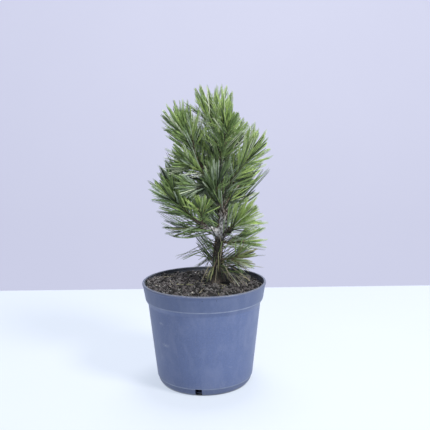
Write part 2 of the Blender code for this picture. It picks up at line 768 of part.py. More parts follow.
def main():
    """Build the pot, soil, trunk, boughs and needle masses."""
    clear_scene()
    pot_material = plain_material("slate_plastic", (0.10, 0.13, 0.21), 0.42)
    soil_material = plain_material("potting_soil", (0.06, 0.045, 0.038), 0.95)
    bark_material = plain_material("grey_bark", (0.20, 0.18, 0.16), 0.88)
    needle_material = plain_material("pine_needles", (0.10, 0.21, 0.06), 0.5)
    build_pot(pot_material)
    build_soil(soil_material)
    trunk = build_trunk(bark_material)
    limbs = {"trunk": trunk}
    for row in BOUGHS:
        limbs[row[0]] = build_bough(row, trunk, bark_material)
    masses = [Mass(row, limbs) for row in MASSES]
    space = Space(masses, list(limbs.values()))
    for mass in masses:
        item, count = build_mass(mass, space, needle_material)
        print(mass.name, "needles", count, "faces", len(item.data.polygons))


main()
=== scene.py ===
"""Looks of the potted Bosnian pine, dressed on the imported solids.

Lengths in the tables are millimetres, as in the part's own source, and are scaled by MM at the end.
"""

import math
import random

import bmesh
import bpy
import numpy as np
from mathutils import Matrix, Vector


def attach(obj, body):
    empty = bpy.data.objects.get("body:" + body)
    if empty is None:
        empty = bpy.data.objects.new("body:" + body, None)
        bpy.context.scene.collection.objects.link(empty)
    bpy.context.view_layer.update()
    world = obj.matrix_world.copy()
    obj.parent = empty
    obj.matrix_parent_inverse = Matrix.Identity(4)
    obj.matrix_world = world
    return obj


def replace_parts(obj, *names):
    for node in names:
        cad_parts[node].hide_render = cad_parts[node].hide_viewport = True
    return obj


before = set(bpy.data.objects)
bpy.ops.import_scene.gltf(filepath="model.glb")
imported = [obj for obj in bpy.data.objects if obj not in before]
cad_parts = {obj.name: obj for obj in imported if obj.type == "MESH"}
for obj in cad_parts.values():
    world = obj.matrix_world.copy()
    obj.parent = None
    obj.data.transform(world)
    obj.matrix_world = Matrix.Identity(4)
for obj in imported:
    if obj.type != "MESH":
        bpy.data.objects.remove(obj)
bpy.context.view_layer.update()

MM = 0.001
GOLDEN_ANGLE = 137.508
SEED = 27

# Camera fitted to the pot, in metres and degrees, and its focal length in pixels of a 430 pixel frame
CAMERA_PLACE = (0.0, -1.103, 0.470)
CAMERA_YAW = 1.07
CAMERA_PITCH = 8.44
CAMERA_ROLL = -0.45
FOCAL_PIXELS = 620
FRAME_PIXELS = 430

# Distance behind the pot's centre at which the table ends
TABLE_EDGE = 631

# Pot, as in the solids
POT_HEIGHT = 186
RIM_RADIUS = 112.5
NOTCH_FIRST_HEADING = -98
SOIL_LEVEL = 176.2
TRUNK_BASE = 176.62
GRAFT_TOP = TRUNK_BASE + 134

# The pot's section as corners of (radius, height, rounding), and a notch's outline and reach
POT_SIDES = 192
POT_PROFILE = (
    (0, 0, 0), (60, 0, 0), (74, 0, 0), (79.5, 0, 3), (84.6, 5, 3), (86.9, 13.2, 0.7), (87.9, 14.2, 0.5),
    (95.2, 81, 0), (102.4, 148, 2.5), (107, 155.6, 0.9), (107.3, 157, 0.5), (111.4, 181.4, 0.5),
    (112.5, 182.4, 0.7), (112.5, 186, 1.5), (107.9, 186, 1.2), (108.4, 182.6, 0.5), (109.2, 181.4, 0.3),
    (104.6, 156, 1), (100, 148, 1.5), (92.8, 81, 0), (85, 14, 2), (79, 2.4, 2), (40, 2.4, 0), (0, 2.4, 0),
)
NOTCH_OUTLINE = ((-6, -2), (6, -2), (6, 13), (5.6, 13.8), (4.8, 14.2), (-4.8, 14.2), (-5.6, 13.8), (-6, 13))
NOTCH_REACH = (71, 95)
# Pot plastic, linear: darker streak, lighter streak, dusty cloud. Painted highlights along two edges as
# (height, half width, strength) and smears as (x, y, z, size), in metres
POT_TONES = ((0.088, 0.126, 0.262), (0.098, 0.139, 0.286), (0.128, 0.170, 0.330))
PAINTED_EDGE_HIGHLIGHTS = ((0.1566, 0.0016, 0.6), (0.014, 0.0014, 0.8))
SMEARS = ((-0.068, -0.066, 0.088, 0.012), (-0.073, -0.064, 0.127, 0.009), (0.046, -0.083, 0.052, 0.005))
SMEAR_STRETCH = 2.8
POT_EDGE_ANGLE = 32
FLOOR_HEIGHT = 0.02

# Soil surface, and its crumbs: name, linear colour, how many, smallest and largest
SOIL_RADIUS = 108
SOIL_RINGS = 96
SOIL_SIDES = 240
SOIL_SKIRT_FOOT = 160
SOIL_FLAT_REACH = 44
SOIL_FLAT_FADE = 30
CRUMB_REACH = 106.6
CRUMB_STRETCH = ((0.7, 0.5, 0.3), (1.5, 1.1, 0.8))
CRUMB_JAG = 0.28
CRUMB_LIFT = 0.15
CRUMB_FINE_FROM = 1.9
CRUMB_SMALL_BIAS = 2.2
BARE_CRUMBS_KEPT = 0.45
CRUMBS = (
    ("crumbs_dark", (0.019, 0.018, 0.018), 1500, 1, 4.4),
    ("crumbs_brown", (0.096, 0.087, 0.088), 1300, 1, 4.6),
    ("crumbs_bark", (0.180, 0.175, 0.175), 950, 0.9, 3.4),
    ("crumbs_tan", (0.40, 0.38, 0.345), 700, 0.6, 2.2),
    ("crumbs_pale", (0.70, 0.70, 0.69), 440, 0.5, 1.8),
)

# Trunk and boughs. Rises over the trunk's foot between which the graft begins and ends and the scarred
# bark begins, and linear tones of crack and crown, the crack tones partly painted shade
TRUNK_SPACING = 0.85
TRUNK_SUNK = 1.6
BOUGH_SPACING = 0.8
GRAFT_FROM = (84, 97)
GRAFT_TO = (122, 138)
SCARS_FROM = (120, 138)
MOTTLE_SIZE = 3.4
TRUNK_SIDES = 96
BOUGH_SIDES = 40
FLARE = 0.13
FLARE_HEIGHT = 24
FLARE_LOBES = 5
BOUGH_REACH = 0.45
COLLAR = 2.2
COLLAR_POINTS = 16
PALE_ROOT = "lower_left_bough"
PALE_ROOT_SWELL = 2.4
FOOT_TONES = ((0.010, 0.009, 0.008), (0.060, 0.052, 0.042))
SPLASH_TONE = (0.100, 0.086, 0.076)
GRAFT_TONES = ((0.028, 0.026, 0.025), (0.52, 0.525, 0.545))
SCAR_TONES = ((0.022, 0.017, 0.014), (0.24, 0.215, 0.19))
BOUGH_TONES = ((0.036, 0.026, 0.020), (0.27, 0.235, 0.20))
PALE_ROOT_TONES = ((0.045, 0.042, 0.040), (0.50, 0.50, 0.53))

TRUNK_COURSE = (
    (24.5, 14, 0, 15.5),
    (24.6, 13.6, 7, 12.4),
    (25, 12.5, 20, 10),
    (25.5, 11, 42, 8.6),
    (26.5, 8.5, 66, 7.8),
    (29, 6, 85, 8.2),
    (32, 4.5, 99, 9.6),
    (35, 3, 114, 8),
    (34.5, 1.5, 132, 7),
    (32, 0.5, 154, 6.4),
    (28.5, 0.5, 180, 5.6),
    (29.5, 3, 204, 4.8),
    (29, 8, 226, 4.1),
    (25.5, 13, 244, 3.4),
)
BOUGHS = (
    ("lower_left_bough", 273, (-9, -3, 293), 5.2, 3.6, -167, 36),
    ("lower_right_bough", 266, (47, -8, 281), 4.2, 3.4, -41, 44),
    ("upper_left_bough", 348, (-1, -2, 392), 4.6, 3.4, -164, 60),
    ("upper_right_bough", 336, (50, -2, 367), 4.6, 3.4, -20, 54),
    ("back_left_bough", 306, (3, 22, 331), 4.4, 3.3, 158, 22),
    ("back_right_bough", 296, (43, 14, 315), 4.2, 3.3, 18, 50),
    ("back_bough", 324, (27, 37, 360), 4.6, 3.4, 105, 42),
    ("back_low_bough", 264, (18, 37, 287), 4.4, 3.3, 106, 26),
)

# Needle masses: name, carrier, place, heading, rise, stem length, needle length, pairs of needles,
# side twigs, droop, share of the rule's angle that its needles stand out by, and the tints of its sprays
MASSES = (
    ("top_back", "trunk", 420, 128, 80, 70, 59, 112, 4, 0, 1, "top"),
    ("top_front", "trunk", 396, -58, 66, 76, 58, 122, 4, 0, 1.15, "top"),
    ("top_left", "upper_left_bough", 1, -166, 62, 78, 60, 132, 4, 0, 1.15, "top"),
    ("upper_left", "upper_left_bough", 0.62, -146, 36, 50, 56, 72, 2, 2, 1, "mid"),
    ("mid_left", "upper_left_bough", 0.3, -140, -6, 42, 50, 60, 2, 2, 1, "blue"),
    ("left", "lower_left_bough", 1, -168, 46, 68, 58, 166, 4, 1, 1.3, "left"),
    ("left_back", "back_left_bough", 1, 158, 24, 50, 60, 80, 2, 2, 1.15, "deep"),
    ("centre_left", "lower_left_bough", 0.78, -98, 50, 46, 43, 50, 2, 0, 1, "bright"),
    ("lower_left", "lower_left_bough", 0.45, 178, 4, 38, 52, 9, 1, 4, 1.15, "dark"),
    ("right_mid", "lower_right_bough", 1, -38, 42, 28, 52, 84, 2, 0, 1.1, "fresh"),
    ("right_low", "trunk", 256, -14, 2, 42, 48, 44, 2, 2, 1, "mid"),
    ("base_right", "trunk", 222, -26, 12, 44, 44, 48, 2, 0, 1, "olive"),
    ("right", "upper_right_bough", 1, -22, 56, 58, 59, 126, 4, 0, 1.35, "top"),
    ("right_back", "trunk", 384, 30, 56, 66, 56, 76, 2, 0, 1.15, "left"),
    ("right_low_back", "back_right_bough", 1, 18, 50, 42, 50, 62, 2, 0, 1.15, "blue"),
    ("front_mid", "trunk", 318, -120, 52, 54, 52, 80, 2, 0, 0.75, "blue"),
    ("back_top", "trunk", 392, 84, 46, 58, 58, 84, 2, 2, 1, "top"),
    ("upper_back", "trunk", 396, 144, 50, 58, 56, 108, 2, 0, 1.2, "top"),
    ("left_inner", "trunk", 318, 174, 44, 36, 46, 50, 1, 0, 1, "mid"),
    ("right_inner", "trunk", 320, 22, 48, 46, 56, 50, 1, 0, 1, "left"),
    ("back_left", "back_bough", 1, 122, 38, 42, 58, 77, 2, 2, 1, "mid"),
    ("back_right", "back_bough", 0.6, 44, 36, 44, 58, 80, 2, 2, 1, "mid"),
    ("back_low_left", "back_low_bough", 1, 128, 26, 36, 54, 62, 2, 2, 1, "mid"),
    ("back_low_right", "back_low_bough", 0.55, 40, 28, 42, 52, 72, 2, 2, 1, "mid"),
    ("foot_left", "trunk", 210, -170, 48, 28, 40, 8, 0, 0, 0.4, "dark"),
    ("foot_right", "trunk", 210, -38, 8, 30, 38, 8, 1, 14, 1, "old"),
    ("foot_front", "trunk", 228, -112, -30, 28, 38, 5, 0, 12, 0.7, "old"),
    ("foot_back", "trunk", 230, 98, 4, 32, 42, 16, 0, 6, 1, "old"),
)

# Tips of the crown's lobes and the notches between them, as (x, height) in the upright plane through
# the trunk that faces the camera. A tip gets needles from the stem that suits it best, but for the lowest
# ones at the left and right and the one that RIGHT_NEEDLES reach
OUTLINE_DEPTH = 5
LOWEST_TIPS = (270, 226)
PLACED_TIP = (120, 390)
WORST_MISFIT = 1.5
MISFIT_TURN = 50
TIP_NEEDLE = 0.95
CROWN_OUTLINE = np.array((
    (-13, 250),
    (-20, 264), (-36, 261), (-51, 263), (-71, 273), (-56, 275), (-75, 285), (-58, 283), (-59, 290),
    (-71, 298), (-62, 301), (-85, 314), (-75, 315), (-81, 321), (-86, 329), (-93, 335), (-93, 347),
    (-99, 355), (-94, 357), (-99, 370), (-87, 357), (-90, 373), (-80, 365), (-76, 379), (-82, 384),
    (-74, 383), (-80, 397), (-68, 390), (-70, 411), (-60, 401), (-67, 427), (-56, 415), (-56, 426),
    (-51, 421), (-59, 437), (-66, 450), (-72, 465), (-66, 464), (-73, 476), (-65, 471), (-74, 486),
    (-67, 483), (-71, 495), (-60, 485), (-64, 505), (-52, 489), (-50, 512), (-43, 497), (-40, 511),
    (-36, 495), (-34, 513), (-30, 497), (-26, 512), (-23, 499), (-20, 503), (-14, 491), (-8, 483),
    (-13, 502), (-13, 532), (-9, 527), (-4, 538), (4, 522), (9, 537), (14, 519), (19, 525), (26, 537),
    (29, 526), (35, 538), (44, 536), (45, 525), (41, 505), (53, 527), (54, 517), (53, 491), (64, 489),
    (69, 475), (73, 480), (76, 467), (80, 473), (84, 464), (93, 473), (94, 454), (100, 461),
    (101, 439), (114, 458), (107, 431), (117, 444), (112, 423), (121, 424), (110, 409), (126, 412),
    (114, 397), (77, 355), (120, 390), (75, 341), (102, 347), (91, 338), (98, 338), (89, 329), (97, 323),
    (109, 305), (99, 297), (117, 291), (106, 286), (113, 282), (95, 274), (91, 267), (117, 260),
    (99, 255), (115, 245), (95, 240), (98, 231), (87, 225), (93, 215),
    (110, 206), (110, 146), (-82, 148), (-48, 220), (-44, 238),
), dtype=float)

# Needle tints, linear base colours, and how often each blend of a mass draws each
# The tint pale is a painted highlight and shade is painted shade: lighter and darker greens dealt among the
# needles
TINTS = {
    "lime": (0.398, 0.532, 0.168),
    "fresh": (0.270, 0.384, 0.132),
    "leaf": (0.190, 0.284, 0.106),
    "deep": (0.100, 0.148, 0.062),
    "blue": (0.335, 0.412, 0.300),
    # Painted highlight
    "pale": (0.59, 0.655, 0.47),
    "shade": (0.032, 0.046, 0.028),
    "olive": (0.28, 0.29, 0.13),
    "straw": (0.36, 0.32, 0.215),
}
# Blends heavy in shade, such as dark and old, paint shade into the low and inner masses, old among the olive
# and straw of old needles; pale paints highlights
BLENDS = {
    "bright": dict(lime=5, fresh=4, leaf=2, deep=2, pale=4, shade=1),
    "top": dict(lime=4, fresh=4, leaf=3, deep=3, blue=1, pale=3, shade=1),
    "mid": dict(lime=2, fresh=3, leaf=3, deep=3, blue=2, pale=2, shade=1),
    "left": dict(lime=2, fresh=3, leaf=3, deep=4, blue=1, pale=1, shade=3),
    "fresh": dict(lime=6, fresh=4, leaf=1, pale=4, shade=2),
    "deep": dict(fresh=1, leaf=3, deep=4, blue=2, shade=3),
    "blue": dict(blue=5, pale=1, deep=3, shade=2, leaf=3, fresh=2),
    "olive": dict(leaf=3, olive=4, fresh=3, deep=2, shade=2, pale=2),
    "dark": dict(deep=4, shade=6, leaf=2, olive=1),
    "old": dict(olive=3, straw=2, shade=7, deep=3),
}

# Needles on the trunk's foot: lowest and highest root above the soil, heading, half turn to each side,
# lowest and highest rise, shortest and longest needle, how many, and their blend
FOOT_SPRAYS = (
    (30, 64, 178, 22, 48, 60, 52, 64, 15, "dark"),
    (60, 92, 182, 52, 20, 62, 26, 44, 12, "dark"),
    (90, 132, 172, 48, 12, 62, 30, 50, 28, "blue"),
    (70, 78, 182, 8, -24, -18, 64, 68, 3, "dark"),
    (50, 62, 184, 12, -42, -14, 30, 46, 5, "dark"),
    (24, 46, -22, 26, -44, -26, 60, 76, 5, "old"),
    (18, 92, -18, 64, -8, 56, 30, 56, 28, "olive"),
    (26, 60, -18, 26, -24, -4, 52, 66, 5, "old"),
    (18, 90, 92, 60, -6, 50, 30, 50, 20, "mid"),
)
# Single old needles on the trunk's foot: root, tip and tint
LONE_NEEDLES = (
    (18.6, 6, 261.3, -50.8, -2, 226.7, "shade"),
    (18.4, 6, 245.6, -52.9, 4, 230.8, "deep"),
    (18.3, 4, 239.5, -11.5, 0, 223.6, "deep"),
    (16.5, 4, 237.6, -7.8, -6, 214.2, "shade"),
    (40.2, 8, 215.9, 108.5, -4, 209.3, "olive"),
    (43.9, 8, 226.2, 112.7, 2, 230.6, "deep"),
    (42.1, 4, 246.6, 111.7, -2, 241.5, "deep"),
    (29.2, -4.5, 269.6, 32.7, -3, 247.2, "straw"),
    (32, -3.5, 249.2, 29.7, -4, 225.1, "straw"),
    (10.4, 0, 216.3, -6.8, -9, 182.4, "straw"),
    (13.5, -2, 213, 5, -10, 186.2, "olive"),
    (23.9, -6, 215.6, 19.4, -14, 183.9, "straw"),
    (28.7, -6, 221.1, 33, -14, 191.5, "shade"),
    (41, -4, 213.1, 42, -10, 190.4, "olive"),
    (44.8, -6, 201.9, 63.8, -20, 178.6, "pale"),
    (47.2, 0, 204.6, 79.3, -8, 177.8, "straw"),
    (40, -4, 215.4, 71.8, -16, 179.6, "straw"),
    (33.5, -6, 220.2, 56.3, -22, 180.2, "straw"),
    (16.7, 0, 227.3, 11.4, -8, 190.3, "shade"),
    (20, -3, 231.7, 15.6, -10, 196.3, "deep"),
    (35.4, -2, 227.6, 45.8, -10, 188.5, "shade"),
    (12.8, 3, 237.9, 0.6, -4, 196.9, "shade"),
    (39.1, 3, 219, 84.5, -2, 183.1, "olive"),
    (26.1, -5, 239.4, 26.1, -9, 203.3, "olive"),
)
# Sagging needles under the lowest left bough: root, tip, sag as a share of the length, and tint
SAGGING_NEEDLES = (
    (-12.1, -6, 271.2, -72.2, -16, 288.5, 0.28, "deep"),
    (-12.2, -6, 268.5, -67.4, -18, 279.4, 0.42, "leaf"),
    (-14, -4, 269.1, -63, -10, 273.4, 0.36, "shade"),
    (-8.5, -4, 274.5, -79.9, -12, 314.5, 0.1, "deep"),
    (-10.3, -2, 275.1, -77, -4, 307, 0.16, "blue"),
    (-12.1, -6, 274, -68.1, -14, 300.5, 0.18, "shade"),
    (-10.3, 0, 275.6, -62.3, 0, 294.5, 0.14, "leaf"),
    (-8.6, -2, 270.5, -56.9, -4, 282.3, 0.3, "blue"),
    (-6.7, -2, 279.6, -72.7, 2, 317.9, 0.06, "deep"),
    (-8.5, 2, 277.1, -67.7, 6, 309.1, 0.1, "shade"),
    (-10.4, 2, 268.8, -54, 6, 267.7, 0.34, "deep"),
    (-13.8, -10, 281, -59.1, -22, 308.6, 0.1, "leaf"),
    (-17.4, -8, 275.3, -75.4, -18, 296.6, 0.22, "leaf"),
    (-4.8, -4, 287.2, -48.8, -10, 321.1, 0.05, "shade"),
)
# Needles of the front spray that lean left over the dark gap behind it, as above
LEANING_NEEDLES = (
    (28.4, -8, 430, -3.7, -26, 460, 0.02, "lime"),
    (28.4, -8, 430, -5.5, -22, 452.3, 0.03, "fresh"),
    (29.3, -10, 435.3, 0.7, -26, 467.6, 0.02, "fresh"),
    (29.3, -10, 435.3, -4.5, -20, 465.1, 0.02, "leaf"),
    (29.3, -10, 435.3, 4.2, -28, 476.9, 0.02, "pale"),
    (30.1, -12, 440.5, 2.6, -26, 483.7, 0.01, "leaf"),
    (28.4, -8, 430, -2.1, -30, 444.7, 0.03, "fresh"),
    (30.1, -12, 440.5, 10.3, -30, 485.3, 0.01, "lime"),
    (29.3, -10, 435.3, -0.2, -30, 458.3, 0.03, "deep"),
    (28.4, -8, 430, 2.3, -32, 453.2, 0.03, "lime"),
    (30.1, -12, 440.5, 1.7, -22, 476.1, 0.02, "leaf"),
    (29.3, -10, 435.3, 5.8, -34, 465.1, 0.02, "fresh"),
    (31, -14, 445.8, 6.1, -28, 492.1, 0.01, "fresh"),
)
# Dark needles that cross the sky at the crown's right middle, as above
RIGHT_NEEDLES = (
    (66.4, 18, 325.1, 119, -4, 387.2, 0.01, "deep"),
    (69.1, 18, 332.2, 107.3, -4, 388.2, 0.02, "deep"),
    (66.4, 18, 327.9, 93.1, -4, 351.6, 0.03, "shade"),
    (75.9, 18, 324.3, 100.7, -4, 347, 0.03, "leaf"),
    (63.1, 18, 332.7, 116.7, -4, 389.2, 0.01, "leaf"),
    (61.3, 18, 342.8, 103.7, -4, 396.6, 0.01, "shade"),
)
# Hanging needles round the trunk's foot: how many, lowest and highest root, steepness
SKIRT_COUNT = 30
SKIRT_ROOTS = (14, 62)
SKIRT_STEEP = (48, 80)
SKIRT_WIDTH = 0.75
# Fallen needles: how many, how far they lie from the axis or, each other one, from the trunk
LITTER_COUNT = 26
LITTER_REACH = 96
LITTER_NEAR = (14, 46)
LITTER_LENGTHS = (22, 46)
LITTER_RIM = 103

# Shoots and needles, the source's rule carried to finer twigs
STEM_RADIUS = 2.6
STEM_TIP_RADIUS = 1.9
STEM_BOW = 0.06
TIP_OVERLAP = 2
TWIG_RADIUS = 1.7
TWIG_LOWEST = 0.3
TWIG_HIGHEST = 0.85
TWIG_SHARE = 0.42
TWIG_ANGLE = 28
BUD_LENGTH = 9
BUD_RADIUS = 2.5
BUD_FORM = (
    (-0.15, 0.5), (0.1, 0.9), (0.3, 1), (0.5, 0.92), (0.7, 0.72), (0.86, 0.45), (0.96, 0.2), (1, 0.04),
)
OLD_STEM = 0.42
TWIG_LIFT = 0.12
TWIG_REACHES = (0.8, 1.1)
TWIG_BUD = 0.75
STUB_LENGTHS = (3.2, 6.5)
STUB_TILTS = (34, 66)
GRAFT_STUBS_FROM = 14
PALE_STUBS = 0.4
PALE_ROOT_POINTS = 90
STUB_RADII = (1.25, 1.05, 0.7, 0.25)
STUB_TONES = {"dark_stubs": (0.045, 0.034, 0.026), "pale_stubs": (0.34, 0.315, 0.29)}
NEEDLE_BASE_ANGLE = 38
NEEDLE_TIP_ANGLE = 9
NEEDLE_ANGLE_POWER = 0.75
NEEDLE_CURL = 0.10
NEEDLE_CUTS = tuple(1 - 0.035 * step for step in range(13))
NEEDLE_TRIES = 6
NEEDLE_WIDTH = 1.65
NEEDLE_TAPER = (
    (0, 0.62), (0.12, 0.88), (0.3, 1), (0.5, 1), (0.7, 0.92), (0.87, 0.74), (0.95, 0.52), (0.99, 0.28),
)
NEEDLE_SECTION = ((-0.5, 0), (-0.38, 0.34), (0, 0.5), (0.38, 0.34), (0.5, 0))
OLD_WIDTH = 0.85
SPRAY_SHARE = 0.35
NEEDLE_SPLAYS = (0.2, 1.4)
NEEDLE_GAP = 0.35
NEEDLE_LENGTHS = (0.8, 1.08)
PAIR_LENGTHS = (0.96, 1.03)
PAIR_BENDS = (-0.006, 0.01)
AZIMUTH_JITTER = 10
ANGLE_JITTER = 8
LEAST_ANGLE = 4
FULL_DROOP = 60
HANGING_DROOP = 8
SPACE_MARGIN = -7
LIMB_MARGIN = 0.7
SOIL_MARGIN = 2.2
RIM_THICKNESS = 9
RIM_MARGIN = 2.5
# Old needles on the bare wood: lowest on the trunk, tilts and lengths
LIMB_NEEDLES_FROM = 96
LIMB_TILTS = (26, 56)
LIMB_NEEDLE_LENGTHS = (46, 56)
LIMB_SHORTER = (40, 30)
FOOT_SHORTER = (0.8, 0.6)
SHEATH_LENGTH = 5
SHEATH_RADII = (1.25, 1.2, 0.95)
SHEATH_TONE = (0.115, 0.09, 0.062)

# Soft lamps: name, place in metres, size, energy and colour
LAMPS = (
    ("key", (1.7, -1.5, 2.3), 0.8, 98, (1, 0.99, 0.97)),
    ("fill", (-0.8, -2.2, 1.2), 1.4, 11, (0.96, 0.98, 1)),
    ("top", (0.1, 0.4, 2.4), 0.8, 34, (1, 1, 1)),
)
LAMP_AIM = (0.02, 0, 0.25)
SKY_TONE = (0.88, 0.91, 1)
SKY_STRENGTH = 0.34

UP = np.array([0.0, 0.0, 1.0])
EYE = np.array(CAMERA_PLACE) / MM
FOOT = np.array([*TRUNK_COURSE[0][:2], 0.0])
rng = np.random.default_rng(SEED)


def lerp(low, high, share):
    """Value a given share of the way from low to high."""
    return low + (high - low) * share


def unit(vector):
    """Vectors scaled to length one."""
    vector = np.asarray(vector, dtype=float)
    return vector / np.maximum(np.linalg.norm(vector, axis=-1, keepdims=True), 1e-12)


def heading_vector(heading, rise):
    """Unit vector from a heading, anticlockwise from +X, and a rise, both in degrees."""
    flat = math.cos(math.radians(rise))
    turn = math.radians(heading)
    return np.array([flat * math.cos(turn), flat * math.sin(turn), math.sin(math.radians(rise))])


def across(axis):
    """Two unit vectors square to an axis and to each other."""
    first = unit(np.cross(axis, UP if abs(axis[2]) < 0.9 else (1, 0, 0)))
    return first, np.cross(axis, first)


def beside(axis, turn):
    """Unit vector square to an axis, at a turn round it in radians."""
    first, second = across(axis)
    return first * math.cos(turn) + second * math.sin(turn)


def off(axis, vector):
    """Unit vector of a vector's part square to an axis."""
    return unit(vector - axis * vector.dot(axis))


def tilted(axis, angle, azimuth):
    """The axis tipped over by an angle, towards an azimuth round it, in degrees."""
    side = beside(axis, math.radians(azimuth))
    return unit(axis * math.cos(math.radians(angle)) + side * math.sin(math.radians(angle)))


def smoothstep(low, high, value):
    """Soft step from 0 to 1 between two values."""
    share = np.clip((value - low) / (high - low), 0, 1)
    return share * share * (3 - 2 * share)


def round_turns(count):
    """Even turns once round, in radians."""
    return 2 * math.pi * np.arange(count) / count


TABLE = np.random.default_rng(5).random(8192)


def value_noise(points, size, seed=0):
    """Smooth noise from 0 to 1 at points, with cells of a size."""
    spot = np.asarray(points, dtype=float) / size + 37 * seed
    cell = np.floor(spot).astype(np.int64)
    part = spot - cell
    part = part * part * (3 - 2 * part)
    total = np.zeros(spot.shape[:-1])
    for corner in range(8):
        step = np.array([corner & 1, corner >> 1 & 1, corner >> 2 & 1])
        key = cell + step
        index = key[..., 0] * 73856093 ^ key[..., 1] * 19349663 ^ key[..., 2] * 83492791
        weight = np.prod(np.where(step == 1, part, 1 - part), axis=-1)
        total += weight * TABLE[index % len(TABLE)]
    return total


def rough_noise(points, size, octaves=3, seed=0):
    """Noise summed over finer and finer cells, from 0 to 1."""
    weights = [0.5 ** octave for octave in range(octaves)]
    layers = [
        share * value_noise(points, size * share, seed + octave) for octave, share in enumerate(weights)
    ]
    return sum(layers) / sum(weights)


# Meshes

def mesh_object(name, points, faces, material, smooth=True, colours=None):
    """An object from points in millimetres and arrays of faces with one size of corner count each."""
    corners = np.concatenate([np.ravel(group) for group in faces]).astype(np.int32)
    sizes = np.concatenate([np.full(len(group), len(group[0])) for group in faces])
    starts = np.concatenate([[0], np.cumsum(sizes)[:-1]]).astype(np.int32)
    mesh = bpy.data.meshes.new(name)
    mesh.vertices.add(len(points))
    mesh.vertices.foreach_set("co", (np.asarray(points) * MM).astype(np.float32).ravel())
    mesh.loops.add(len(corners))
    mesh.loops.foreach_set("vertex_index", corners)
    mesh.polygons.add(len(starts))
    mesh.polygons.foreach_set("loop_start", starts)
    mesh.update(calc_edges=True)
    mesh.validate()
    if smooth:
        mesh.shade_smooth()
    if colours is not None:
        layer = mesh.color_attributes.new("tone", "FLOAT_COLOR", "POINT")
        rows = np.concatenate([colours, np.ones((len(colours), 1))], axis=1)
        layer.data.foreach_set("color", rows.astype(np.float32).ravel())
    mesh.materials.append(material)
    item = bpy.data.objects.new(name, mesh)
    bpy.context.scene.collection.objects.link(item)
    return item


def grid_faces(rows, columns):
    """Four-sided faces of a grid whose columns run round."""
    row, column = np.meshgrid(np.arange(rows - 1), np.arange(columns), indexing="ij")
    after = (column + 1) % columns
    low = row * columns
    faces = np.stack([low + column, low + after, low + columns + after, low + columns + column], axis=-1)
    return faces.reshape(-1, 4)


def end_caps(rows, columns):
    """Triangles that close such a grid's ends, from the two points that follow the grid's own."""
    side = np.arange(columns)
    after = (side + 1) % columns
    top, count = (rows - 1) * columns, rows * columns
    return np.vstack([
        np.column_stack([np.full(columns, count), after, side]),
        np.column_stack([top + side, top + after, np.full(columns, count + 1)]),
    ])


class Batch:
    """Gathers many small pieces of one material into one mesh."""

    def __init__(self):
        self.points = []
        self.faces = {3: [], 4: []}
        self.count = 0

    def add(self, points, *groups):
        """Adds a piece's points and its arrays of faces."""
        for group in groups:
            self.faces[group.shape[1]].append(group + self.count)
        self.points.append(points)
        self.count += len(points)

    def build(self, name, material, smooth=True):
        """The gathered mesh as one object."""
        faces = [np.concatenate(rows) for rows in self.faces.values() if rows]
        return mesh_object(name, np.concatenate(self.points), faces, material, smooth)


def course_frames(points):
    """Two unit vectors across each point of a course, turned as little as possible along it."""
    ahead = unit(np.gradient(points, axis=0))
    first = across(ahead[0])[0]
    firsts = []
    for axis in ahead:
        first = off(axis, first)
        firsts.append(first)
    firsts = np.array(firsts)
    return firsts, np.cross(ahead, firsts)


def resample(points, radii, spacing):
    """A course read again at even distances on a smooth curve through its points."""
    rows = np.column_stack([points, radii])
    rows = np.vstack([2 * rows[0] - rows[1], rows, 2 * rows[-1] - rows[-2]])
    fine = []
    for before, start, end, after in zip(rows, rows[1:], rows[2:], rows[3:]):
        steps = max(int(np.linalg.norm((end - start)[:3]) / spacing), 1)
        for t in np.arange(steps) / steps:
            bend = 2 * start + (end - before) * t
            bend = bend + (2 * before - 5 * start + 4 * end - after) * t * t
            bend = bend + (3 * start - before - 3 * end + after) * t ** 3
            fine.append(bend / 2)
    fine = np.array(fine + [rows[-2]])
    return fine[:, :3], fine[:, 3]


def bezier(start, control, end, steps):
    """Points along a curve with one control point."""
    t = np.linspace(0, 1, steps + 1)[:, None]
    return start * (1 - t) ** 2 + control * 2 * t * (1 - t) + end * t * t


def tube(points, radii, sides, relief=None):
    """Points and faces of a closed tube. The relief gives millimetres outward by turn and run."""
    first, second = course_frames(points)
    turn = round_turns(sides)
    run = np.concatenate([[0], np.cumsum(np.linalg.norm(np.diff(points, axis=0), axis=1))])
    turns, runs = np.meshgrid(turn, run)
    width = np.repeat(radii[:, None], sides, axis=1)
    if relief is not None:
        width = width + relief(turns, runs, width)
    out = first[:, None, :] * np.cos(turn)[None, :, None] + second[:, None, :] * np.sin(turn)[None, :, None]
    skin = (points[:, None, :] + out * width[:, :, None]).reshape(-1, 3)
    skin = np.vstack([skin, points[0], points[-1]])
    return skin, grid_faces(len(points), sides), end_caps(len(points), sides)


# Materials

